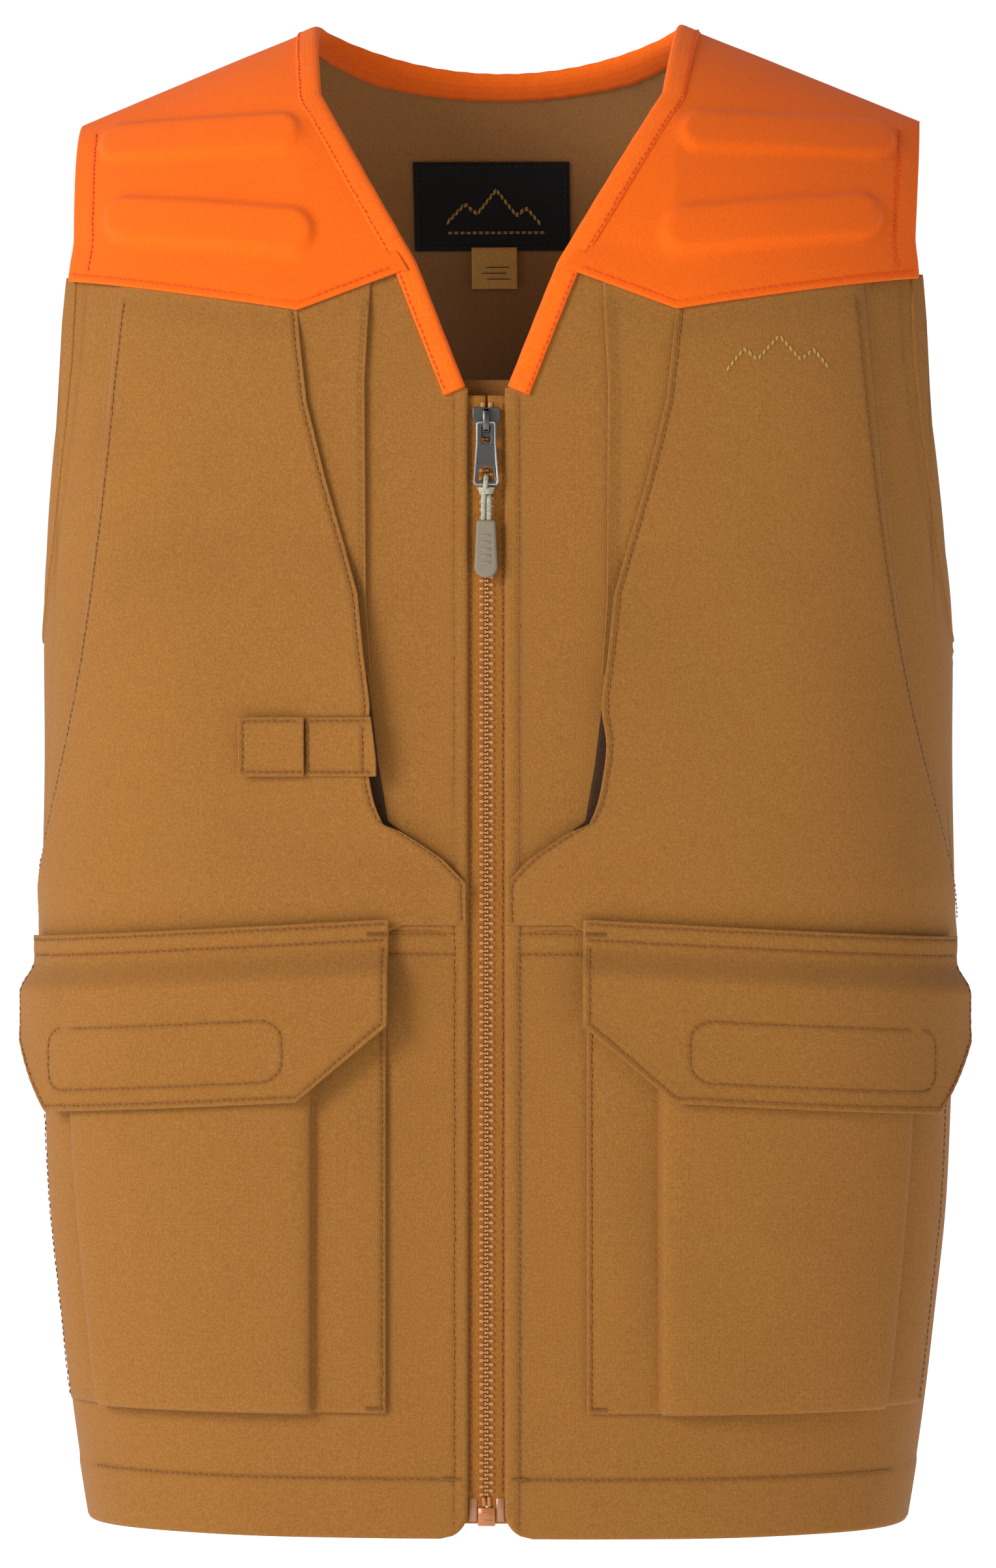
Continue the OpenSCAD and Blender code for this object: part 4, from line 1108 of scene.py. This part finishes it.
def build_embroidery(shape):
    """A small plain motif on the chest, in place of a name."""
    peaks = np.array([(112, -176), (120, -166), (126, -171), (136, -160), (146, -171), (152, -166), (160, -176)],
            float)
    zig = np.concatenate([np.linspace(a, b, 16) for a, b in zip(peaks[:-1], peaks[1:])])
    lines = []
    for d in (0, 0.6, 1.2):
        p = zig + [0, d]
        lines.append(on_shape(shape, shape.turn(p[:, 0], p[:, 1]), p[:, 1], overlay_off(shape, p[:, 0], p[:,
                1]) + shape.cloth + 0.25))
    obj = stitched("chest_motif", lines, materials()["gold thread"], False, jitter=0.03)
    done(obj, "shell")


def box_points(lo, hi, bevel):
    """A box with bevelled edges as points and faces."""
    lo, hi = np.array(lo, float), np.array(hi, float)
    points = []
    mid, half = (lo + hi) / 2, (hi - lo) / 2
    b = min(bevel, half.min() * 0.6)
    for sx in (-1, 1):
        for sy in (-1, 1):
            for sz in (-1, 1):
                s = np.array([sx, sy, sz])
                for axis in range(3):
                    p = half - b
                    p[axis] = half[axis]
                    points.append(mid + s * p)
    index = lambda sx, sy, sz, axis: ((sx > 0) * 4 + (sy > 0) * 2 + (sz > 0)) * 3 + axis
    quads, tris = [], []
    signs = [(-1, -1), (1, -1), (1, 1), (-1, 1)]
    for axis in range(3):
        others = [k for k in range(3) if k != axis]
        for s in (-1, 1):
            q = []
            for a, c in signs:
                v = [0, 0, 0]
                v[axis], v[others[0]], v[others[1]] = s, a, c
                q.append(index(*v, axis))
            flip = (s > 0) == (axis == 1)
            quads.append(q[::-1] if flip else q)
    for axis in range(3):
        a, c = [k for k in range(3) if k != axis]
        for sa in (-1, 1):
            for sc in (-1, 1):
                v0, v1 = [0, 0, 0], [0, 0, 0]
                v0[axis], v1[axis] = -1, 1
                v0[a] = v1[a] = sa
                v0[c] = v1[c] = sc
                quads.append([index(*v0, a), index(*v0, c), index(*v1, c), index(*v1, a)])
    for sx in (-1, 1):
        for sy in (-1, 1):
            for sz in (-1, 1):
                tris.append([index(sx, sy, sz, k) for k in range(3)])
    return np.array(points), np.array(quads), np.array(tris)


def fix_normals(obj):
    import bmesh
    bm = bmesh.new()
    bm.from_mesh(obj.data)
    bmesh.ops.recalc_face_normals(bm, faces=bm.faces)
    bm.to_mesh(obj.data)
    bm.free()
    return obj


def many_boxes(name, boxes, bevel, material, flat=True):
    points, quads, tris, n = [], [], [], 0
    for lo, hi in boxes:
        p, q, t = box_points(lo, hi, bevel)
        points.append(p)
        quads.append(q + n)
        tris.append(t + n)
        n += len(p)
    obj = mesh_object(name, np.concatenate(points), [np.concatenate(quads), np.concatenate(tris)], material,
            smooth=False)
    return fix_normals(obj)


def build_zip(shape):
    t = sizes()[1]
    m = materials()
    pitch = t.tooth_pitch / MM
    tooth_y, deep = -shape.front - 0.45, 2.5
    top, low = shape.zip_top - 14, shape.hem + 20
    tall = pitch / 2 - 0.25
    for side, flip in SIDES:
        sign = -1 if flip else 1
        boxes = []
        shift = 0 if flip else pitch / 2
        z = low + shift
        while z <= top - tall + 1e-6:
            # Foot on the tape, neck, and the wider head that meshes
            for x0, x1, grow, y0, y1 in ((1.3, 3.4, 0.0, -0.1, deep + 0.1), (-0.3, 1.4, -0.28, 0.25, deep - 0.25),
                    (-1.0, 0.1, 0.04, 0.1, deep - 0.1)):
                a, c = sorted((sign * x0, sign * x1))
                boxes.append(([a, tooth_y + y0, z - grow], [c, tooth_y + y1, z + tall + grow]))
            z += pitch
        obj = many_boxes(f"{side}_zip_teeth", boxes, 0.32, m["teeth"])
        done(obj, "shell", [f"{side}_zip_teeth"])
        # Tape with its raised edge cord
        rows, cols = 200, 16
        v, s = grid(rows, cols)
        z = shape.hem + 7 + v * (shape.zip_top - 4 - shape.hem - 7)
        x = 0.5 + 20.5 * s
        y = -shape.front + 0.75 - 0.25 * np.exp(-((x - 3.6) / 0.8) ** 2)
        outer = np.stack([x, y, z], -1)
        inner = np.stack([x, y + 0.6, z], -1)
        points = np.concatenate([outer.reshape(-1, 3), inner.reshape(-1, 3)])
        g = np.arange(rows * cols).reshape(rows, cols)
        a, bb, c, d = g[:-1, :-1].ravel(), g[:-1, 1:].ravel(), g[1:, 1:].ravel(), g[1:, :-1].ravel()
        n = rows * cols
        loop = np.concatenate([g[0], g[1:, -1], g[-1, -2::-1], g[-2:0:-1, 0]])
        nxt = np.roll(loop, -1)
        faces = np.concatenate([np.stack([a, bb, c, d], 1), np.stack([a, d, c, bb], 1) + n, np.stack([loop,
                loop + n, nxt + n, nxt], 1)])
        if flip:
            points, faces = points * [-1, 1, 1], faces[:, ::-1]
        uv = np.tile(np.stack([x.ravel(), z.ravel()], 1) / 100, (2, 1))
        obj = mesh_object(f"{side}_zip_tape", points, [faces], m["tape"],
                attributes={"seam": np.zeros(len(points))}, uv=uv)
        done(obj, "shell", [f"{side}_zip_tape"])
        line = np.stack([np.full(300, sign * 7.4), np.full(300, -shape.front + 0.6), np.linspace(shape.hem + 22,
                shape.zip_top - 6, 300)], 1)
        add_stitches(f"{side}_tape_stitching", [line], "shell", False)
    stops = [([x, tooth_y, shape.zip_top - 11], [x + 2.4, tooth_y + deep, shape.zip_top - 7]) for x in (-3.0, 0.6)]
    done(many_boxes("zip_top_stops", stops, 0.5, m["teeth"]), "shell", ["zip_top_stops"])
    h = shape.hem
    box = [([-4.1, tooth_y - 0.6, h + 6], [4.1, tooth_y + 0.6, h + 14.6]), ([-2.8, tooth_y - 0.5, h + 6.1], [2.8,
            tooth_y + 3.2, h + 14.5]),
           ([-2.2, tooth_y, h + 15], [-0.3, tooth_y + deep, h + 19.4]), ([0.3, tooth_y, h + 14.6], [2.2,
                   tooth_y + deep, h + 19.8]),
           ([-2.6, tooth_y - 0.85, h + 8.2], [2.6, tooth_y - 0.5, h + 9.0]), ([-2.6, tooth_y - 0.85, h + 11.4],
                   [2.6, tooth_y - 0.5, h + 12.2])]
    done(many_boxes("zip_retainer_box", box, 0.45, m["box"]), "shell", ["zip_retainer_box"])
    film = [([x, -shape.front + 0.2, h + 8], [x + 3.9, -shape.front + 0.55, h + 19]) for x in (-shape.gap + 0.3,
            4.5)]
    done(many_boxes("zip_end_film", film, 0.12, m["film"]), "shell", ["zip_end_film"])


def extruded(name, outline, y0, y1, material, bevel=0.25, holes=()):
    """A flat plate from an outline in x and z, through a curve so that its edges are bevelled."""
    curve = bpy.data.curves.new(name, "CURVE")
    curve.dimensions = "2D"
    curve.fill_mode = "BOTH"
    for line in (outline, *holes):
        spline = curve.splines.new("POLY")
        spline.points.add(len(line) - 1)
        for p, (x, z) in zip(spline.points, line):
            p.co = (x * MM, z * MM, 0, 1)
        spline.use_cyclic_u = True
    curve.extrude = max(1e-6, (abs(y1 - y0) / 2 - bevel) * MM)
    curve.bevel_depth = bevel * MM
    curve.bevel_resolution = 2
    curve.offset = -bevel * MM
    temp = bpy.data.objects.new(name + "_curve", curve)
    bpy.context.scene.collection.objects.link(temp)
    bpy.context.view_layer.update()
    mesh = bpy.data.meshes.new_from_object(temp.evaluated_get(bpy.context.evaluated_depsgraph_get()))
    bpy.data.objects.remove(temp)
    co = np.empty(len(mesh.vertices) * 3)
    mesh.vertices.foreach_get("co", co)
    co = co.reshape(-1, 3)
    mesh.vertices.foreach_set("co", np.stack([co[:, 0], (y0 + y1) / 2 * MM - co[:, 2], co[:, 1]], 1).reshape(-1))
    mesh.update()
    mesh.materials.clear()
    mesh.materials.append(material)
    obj = bpy.data.objects.new(name, mesh)
    bpy.context.scene.collection.objects.link(obj)
    return obj


def joined(objs):
    """Joins several mesh objects into the first."""
    bpy.ops.object.select_all(action="DESELECT")
    for o in objs:
        o.select_set(True)
    bpy.context.view_layer.objects.active = objs[0]
    bpy.ops.object.join()
    return objs[0]


def arc(cx, cz, r, a0, a1, n=14):
    return [(cx + r * math.cos(math.radians(a)), cz + r * math.sin(math.radians(a))) for a in np.linspace(a0, a1,
            n)]


def build_slider(shape):
    t = sizes()[1]
    m = materials()
    tooth_y, seat, plate = -shape.front - 0.45, 0.35, 1.6
    plate_y = tooth_y - seat - plate
    top = shape.zip_top - 9.6
    pivot_y, pivot_z = plate_y - 2.3, top - 8.4
    wing = [(-4.8, -14), (4.8, -14), (5.2, -7.5), (6.5, -5), (6.5, -0.8), (5.6, 0), (1.8, 0), (0, -1.8), (-1.8, 0),
            (-5.6, 0), (-6.5, -0.8), (-6.5, -5), (-5.2, -7.5)]
    wing = [(x, z + top) for x, z in wing]
    front = extruded("zip_slider", wing, plate_y, plate_y + plate, m["metal"], 0.35)
    # Bridge that carries the pull: an arch seen from the side
    arch = [([-1.6, pivot_y - 2.0, top - 11.9], [1.6, pivot_y - 1.0, top - 0.8]),
            ([-1.6, pivot_y - 2.0, top - 12.0], [1.6, plate_y + 0.4, top - 10.4]),
            ([-1.6, pivot_y - 2.0, top - 2.4], [1.6, plate_y + 0.4, top - 0.6]),
            ([-1.3, pivot_y - 1.1, top - 6.6], [1.3, plate_y + 0.4, top - 2.0])]
    bridge = many_boxes("slider_bridge", arch, 0.45, m["metal"])
    done(joined([front, bridge]), "slider", ["zip_slider"])
    rear = extruded("zip_slider_back", wing, tooth_y + 2.5 + seat, tooth_y + 2.5 + seat + 1.4, m["metal"], 0.3)
    done(rear, "slider", ["zip_slider_back"])
    # Pull plate: narrow top with the slot, recessed face, window at the lower end
    low = pivot_z - t.pull_length / MM + 2.6
    outline = [(-5.2, low), (5.2, low), (6.0, low + 1.2), (4.55, pivot_z - 8), (4.5, pivot_z + 0.6), (3.9,
            pivot_z + 1.4),
               (-3.9, pivot_z + 1.4), (-4.5, pivot_z + 0.6), (-4.55, pivot_z - 8), (-6.0, low + 1.2)]
    slot_hole = [(-2.2, pivot_z - 8.6), (2.2, pivot_z - 8.6), (2.2, pivot_z - 0.9), (-2.2, pivot_z - 0.9)]
    window = arc(0, low + 5.2, 3.9, 25, 155, 12) + [(-4.1, low + 2.4), (-3.7, low + 1.9), (3.7, low + 1.9), (4.1,
            low + 2.4)]
    thick = 1.8
    face_y = pivot_y - thick / 2
    plate_obj = extruded("zip_pull", outline, pivot_y - thick / 2, pivot_y + thick / 2, m["metal"], 0.3, [slot_hole,
            window])
    # Bright worn rims: round the outside and round the recessed face
    inner = [(x * 0.86, z + (0.75 if z < pivot_z - 14 else -0.75)) for x, z in outline]
    rim = extruded("pull_rim", outline, face_y - 0.28, face_y + 0.3, m["bright metal"], 0.14, [inner])
    face = [(-4.1, low + 10.3), (4.1, low + 10.3), (3.5, pivot_z - 9.9), (-3.5, pivot_z - 9.9)]
    frame_line = [(-4.6, low + 9.7), (4.6, low + 9.7), (4.0, pivot_z - 9.3), (-4.0, pivot_z - 9.3)]
    lip = extruded("pull_lip", frame_line, face_y - 0.22, face_y + 0.2, m["metal"], 0.1, [face])
    rim = joined([rim, lip])
    bar = tubes("pull_bar", [np.array([[x, pivot_y, pivot_z] for x in np.linspace(-2.6, 2.6, 6)])], 0.8, m["metal"],
            sides=14)
    done(joined([plate_obj, rim, bar]), "pull", ["zip_pull"])


def build_cord(shape):
    t = sizes()[1]
    m = materials()
    plate_y = -shape.front - 0.45 - 0.35 - 1.6
    y, pivot_z = plate_y - 2.3, shape.zip_top - 9.6 - 8.4
    eye = pivot_z - t.pull_length / MM + 2.6 + 1.1
    tab_top = eye - 17.5
    r, reach = 1.15, 2.9
    sx = r + 0.2
    left = [(-sx, 0, -21.0), (-sx, 0, -12), (-sx, 0, -7.5), (-0.7 * sx, -1.5, -4.6), (-0.25 * sx, -2.6, -1.9)]
    ring = [(0, reach * math.cos(math.radians(a)), reach * math.sin(math.radians(a))) for a in range(180, -1, -20)]
    right = [(-x, -yy, z) for x, yy, z in left[::-1]]
    path = np.array(left + ring + right) + [0, y, eye]
    curve = bpy.data.curves.new("pull_cord", "CURVE")
    curve.dimensions = "3D"
    curve.bevel_depth = r * MM
    curve.bevel_resolution = 6
    spline = curve.splines.new("POLY")
    # A smooth line through the points
    run = np.concatenate([[0], np.cumsum(np.linalg.norm(np.diff(path, axis=0), axis=1))])
    fine = np.linspace(0, run[-1], 120)
    smooth = np.stack([np.interp(fine, run, path[:, k]) for k in range(3)], 1)
    for _ in range(8):
        smooth[1:-1] = (smooth[:-2] + 2 * smooth[1:-1] + smooth[2:]) / 4
    spline.points.add(len(smooth) - 1)
    for p, q in zip(spline.points, smooth * MM):
        p.co = (*q, 1)
    obj = bpy.data.objects.new("pull_cord", curve)
    bpy.context.scene.collection.objects.link(obj)
    curve.materials.append(m["cord"])
    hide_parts("pull_cord")
    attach(obj, "tab")
    # Crimp that holds the two strands together under the pull
    knot = []
    for k in range(3):
        a = np.linspace(0, 2 * np.pi, 25)
        knot.append(np.stack([(3.5 - 0.35 * k) * np.cos(a), 2.5 * np.sin(a), np.full(25,
                -2.5 - 0.95 * k) + 0.3 * np.sin(a)], 1) + [0, y, eye])
    done(tubes("cord_knot", knot, 0.6, m["cord"], sides=8), "tab")
    # Moulded tab with a rounded foot and a raised grip
    low = tab_top - t.tab_length / MM
    outline = [(-4.0, tab_top), (4.0, tab_top), (4.5, tab_top - 0.8)] + arc(0, low + 5.5, 5.5, 10, -190,
            30) + [(-4.5, tab_top - 0.8)]
    tab = extruded("pull_tab", outline, y - 2.5, y + 2.5, m["rubber"], 1.1)
    ridges = [([-2.4, y - 2.75, tab_top - 8 - 3.2 * k], [2.4, y - 2.3, tab_top - 6.6 - 3.2 * k]) for k in range(5)]
    grip = many_boxes("tab_ridges", ridges, 0.25, m["rubber"])
    done(joined([tab, grip]), "tab", ["pull_tab"])


def build_bartacks(shape):
    """Dense tacks beside the zip at the hem and at the pocket corners."""
    for side, flip in SIDES:
        lines = []
        spots = [(15.3, shape.hem + 28.0, 7.0, shape.cloth + 0.9), (51.0, shape.mid + 1.0, 9.0,
                shape.lay_header + shape.cloth + 0.4),
                 (52.5, shape.mid - 222.0, 7.0, shape.lay_flange + shape.cloth + 0.9)]
        for cx, cz, long, off in spots:
            for k in range(14):
                x = cx - long / 2 + long * k / 13
                zs = np.array([cz - 0.9, cz + 0.9])
                p = shape.at(shape.turn(np.array([x, x + 0.25]), zs), zs, off)
                lines.append(np.linspace(p[0], p[1], 5))
        obj = tubes(f"{side}_bartacks", lines, 0.3, materials()["thread"], taper=True, flip=flip)
        done(obj, "shell")


# ---------------------------------------------------------------- stage
FLOOR_Z = -860  # mm, below the hem
FLOOR_REACH = 14000  # mm from the middle to each edge


def build_stage(shape):
    scene = bpy.context.scene
    world = bpy.data.worlds.new("studio")
    scene.world = world
    world.use_nodes = True
    tree = world.node_tree
    back = tree.nodes["Background"]
    # White all round at eye level, dimmer overhead and underfoot
    toward = node(tree, "ShaderNodeSeparateXYZ")
    link(tree, node(tree, "ShaderNodeTexCoord").outputs["Generated"], toward.inputs[0])
    band = node(tree, "ShaderNodeMapRange")
    for socket, value in zip(list(band.inputs)[1:5], (0.25, 0.7, 1.02, 0.3)):
        socket.default_value = value
    link(tree, math_node(tree, "ABSOLUTE", toward.outputs[2]), band.inputs[0])
    # Brightest behind and to the left, so that the right side falls into soft shade
    side = math_node(tree, "ADD", math_node(tree, "MULTIPLY", toward.outputs[0], -0.45),
                     math_node(tree, "MULTIPLY", toward.outputs[1], 0.9))
    around = node(tree, "ShaderNodeMapRange")
    for socket, value in zip(list(around.inputs)[1:5], (-1.0, 0.6, 0.35, 1.0)):
        socket.default_value = value
    link(tree, side, around.inputs[0])
    link(tree, math_node(tree, "MULTIPLY", band.outputs[0], around.outputs[0]), back.inputs[1])
    back.inputs[0].default_value = (1, 1, 1, 1)
    floor_mat, tree, shader = tree_for("studio floor")
    shader.inputs["Base Color"].default_value = (0.9, 0.9, 0.9, 1)
    shader.inputs["Roughness"].default_value = 0.9
    shader.inputs["Emission Color"].default_value = (1, 1, 1, 1)
    shader.inputs["Emission Strength"].default_value = 0.75
    reach = FLOOR_REACH
    corners = np.array([(-reach, -reach, FLOOR_Z), (reach, -reach, FLOOR_Z), (reach, reach, FLOOR_Z),
                        (-reach, reach, FLOOR_Z)], float)
    floor = mesh_object("studio_floor", corners, [np.array([[0, 1, 2, 3]])], floor_mat)

    def lamp(name, place, target, size, power):
        data = bpy.data.lights.new(name, "AREA")
        data.shape = "SQUARE"
        data.size = size
        data.energy = power
        obj = bpy.data.objects.new(name, data)
        scene.collection.objects.link(obj)
        obj.location = place
        obj.rotation_euler = (Vector(target) - Vector(place)).to_track_quat("-Z", "Y").to_euler()
    lamp("key", (-2.3, -2.3, 0.7), (0, 0, -0.35), 1.4, 72)
    lamp("fill", (2.2, -2.4, 0.2), (0, 0, -0.4), 2.0, 2)
    lamp("top", (0, 0.4, 2.2), (0, 0, -0.2), 1.6, 6)
    cam_data = bpy.data.cameras.new("camera")
    cam = bpy.data.objects.new("camera", cam_data)
    scene.collection.objects.link(cam)
    scene.camera = cam
    turn, far, high = math.radians(2.8), 3.0, -0.3695
    right = Vector((math.cos(turn), math.sin(turn), 0))
    cam.location = Vector((far * math.sin(turn), -far * math.cos(turn), high)) + right * -0.0006
    cam.rotation_euler = (math.pi / 2, 0, turn)
    cam_data.sensor_fit = "HORIZONTAL"
    cam_data.sensor_width = 36.0
    cam_data.lens = 36.0 * far / (0.3188 * MM * 1530)
    cam_data.clip_end = 30
    cam_data.dof.use_dof = False
    scene.view_settings.view_transform = "Standard"


# ---------------------------------------------------------------- operators
class VEST_OT_inner_fronts(bpy.types.Operator):
    """The layers beside the zip"""

    bl_idname = "vest.inner_fronts"
    bl_label = "Inner fronts"

    def execute(self, context):
        for side, flip in SIDES:
            build_inner_front(Shape(), side, flip)
        return {"FINISHED"}


class VEST_OT_gussets(bpy.types.Operator):
    """The folded layers behind the chest overlays"""

    bl_idname = "vest.gussets"
    bl_label = "Chest gussets"

    def execute(self, context):
        for side, flip in SIDES:
            build_gusset(Shape(), side, flip)
        return {"FINISHED"}


class VEST_OT_overlays(bpy.types.Operator):
    """The outer chest layers with the open mouths"""

    bl_idname = "vest.overlays"
    bl_label = "Chest overlays"

    def execute(self, context):
        for side, flip in SIDES:
            build_overlay(Shape(), side, flip)
        return {"FINISHED"}


class VEST_OT_side_panels(bpy.types.Operator):
    """The pieces under the arms"""

    bl_idname = "vest.side_panels"
    bl_label = "Side panels"

    def execute(self, context):
        for side, flip in SIDES:
            build_side_panel(Shape(), side, flip)
        return {"FINISHED"}


class VEST_OT_lower_fronts(bpy.types.Operator):
    """The fronts behind the cargo pockets"""

    bl_idname = "vest.lower_fronts"
    bl_label = "Lower fronts"

    def execute(self, context):
        for side, flip in SIDES:
            build_lower_front(Shape(), side, flip)
        return {"FINISHED"}


class VEST_OT_yokes(bpy.types.Operator):
    """The orange shoulder pieces"""

    bl_idname = "vest.yokes"
    bl_label = "Front yokes"

    def execute(self, context):
        for side, flip in SIDES:
            build_yoke(Shape(), side, flip)
        return {"FINISHED"}


class VEST_OT_pads(bpy.types.Operator):
    """The bars under the yokes"""

    bl_idname = "vest.pads"
    bl_label = "Shoulder pads"

    def execute(self, context):
        for side, flip in SIDES:
            build_pads(Shape(), side, flip)
        return {"FINISHED"}


class VEST_OT_back(bpy.types.Operator):
    """The back panel and the back yoke"""

    bl_idname = "vest.back"
    bl_label = "Back"

    def execute(self, context):
        build_back(Shape())
        return {"FINISHED"}


class VEST_OT_binding(bpy.types.Operator):
    """The folded band round the neck"""

    bl_idname = "vest.binding"
    bl_label = "Neck binding"

    def execute(self, context):
        build_binding(Shape())
        return {"FINISHED"}


class VEST_OT_facings(bpy.types.Operator):
    """Armhole, zip and hem facings"""

    bl_idname = "vest.facings"
    bl_label = "Facings"

    def execute(self, context):
        for side, flip in SIDES:
            build_facings(Shape(), side, flip)
        return {"FINISHED"}


class VEST_OT_shared_facings(bpy.types.Operator):
    """The storm flap and the back hem facing"""

    bl_idname = "vest.shared_facings"
    bl_label = "Storm flap"

    def execute(self, context):
        build_common_facings(Shape())
        return {"FINISHED"}


class VEST_OT_pockets(bpy.types.Operator):
    """The raised pockets and their strips"""

    bl_idname = "vest.pockets"
    bl_label = "Cargo pockets"

    def execute(self, context):
        for side, flip in SIDES:
            build_pocket(Shape(), side, flip)
        return {"FINISHED"}


class VEST_OT_flaps(bpy.types.Operator):
    """The flaps and their sewn headers"""

    bl_idname = "vest.flaps"
    bl_label = "Pocket flaps"

    def execute(self, context):
        for side, flip in SIDES:
            build_flap(Shape(), side, flip)
        return {"FINISHED"}


class VEST_OT_chest_tab(bpy.types.Operator):
    """The tab on the chest"""

    bl_idname = "vest.chest_tab"
    bl_label = "Chest tab"

    def execute(self, context):
        build_chest_tab(Shape())
        return {"FINISHED"}


class VEST_OT_labels(bpy.types.Operator):
    """The neck label and the care label"""

    bl_idname = "vest.labels"
    bl_label = "Labels"

    def execute(self, context):
        build_labels(Shape())
        return {"FINISHED"}


class VEST_OT_embroidery(bpy.types.Operator):
    """A small plain embroidered motif"""

    bl_idname = "vest.embroidery"
    bl_label = "Chest motif"

    def execute(self, context):
        build_embroidery(Shape())
        return {"FINISHED"}


class VEST_OT_zip(bpy.types.Operator):
    """Tapes, teeth, stops and box"""

    bl_idname = "vest.zip"
    bl_label = "Zip"

    def execute(self, context):
        build_zip(Shape())
        return {"FINISHED"}


class VEST_OT_slider(bpy.types.Operator):
    """The metal slider and its pull"""

    bl_idname = "vest.slider"
    bl_label = "Slider and pull"

    def execute(self, context):
        build_slider(Shape())
        return {"FINISHED"}


class VEST_OT_cord(bpy.types.Operator):
    """The cord loop and its moulded tab"""

    bl_idname = "vest.cord"
    bl_label = "Cord and tab"

    def execute(self, context):
        build_cord(Shape())
        return {"FINISHED"}


class VEST_OT_bartacks(bpy.types.Operator):
    """Dense stitches at the stress points"""

    bl_idname = "vest.bartacks"
    bl_label = "Bartacks"

    def execute(self, context):
        build_bartacks(Shape())
        return {"FINISHED"}


class VEST_OT_stage(bpy.types.Operator):
    """Floor, lights and camera"""

    bl_idname = "vest.stage"
    bl_label = "Stage"

    def execute(self, context):
        build_stage(Shape())
        return {"FINISHED"}


OPERATORS = [
    VEST_OT_inner_fronts,
    VEST_OT_gussets,
    VEST_OT_overlays,
    VEST_OT_side_panels,
    VEST_OT_lower_fronts,
    VEST_OT_yokes,
    VEST_OT_pads,
    VEST_OT_back,
    VEST_OT_binding,
    VEST_OT_facings,
    VEST_OT_shared_facings,
    VEST_OT_pockets,
    VEST_OT_flaps,
    VEST_OT_chest_tab,
    VEST_OT_labels,
    VEST_OT_embroidery,
    VEST_OT_zip,
    VEST_OT_slider,
    VEST_OT_cord,
    VEST_OT_bartacks,
    VEST_OT_stage,
]


class VEST_PT_panel(bpy.types.Panel):
    """Sizes and build steps of the vest"""

    bl_label = "Field vest"
    bl_idname = "VEST_PT_panel"
    bl_space_type = "VIEW_3D"
    bl_region_type = "UI"
    bl_category = "Vest"

    def draw(self, context):
        for group in (context.scene.vest_body, context.scene.vest_trim):
            for key in group.__annotations__:
                self.layout.prop(group, key)
        for step in OPERATORS:
            self.layout.operator(step.bl_idname)


CLASSES = [VestBody, VestTrim, *OPERATORS, VEST_PT_panel]


def register():
    for c in CLASSES:
        bpy.utils.register_class(c)
    bpy.types.Scene.vest_body = bpy.props.PointerProperty(type=VestBody)
    bpy.types.Scene.vest_trim = bpy.props.PointerProperty(type=VestTrim)


def unregister():
    del bpy.types.Scene.vest_trim
    del bpy.types.Scene.vest_body
    for c in reversed(CLASSES):
        bpy.utils.unregister_class(c)


def main():
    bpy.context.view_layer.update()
    register()
    for step in OPERATORS:
        getattr(bpy.ops.vest, step.bl_idname.split(".")[1])()


if __name__ == "__main__":
    main()
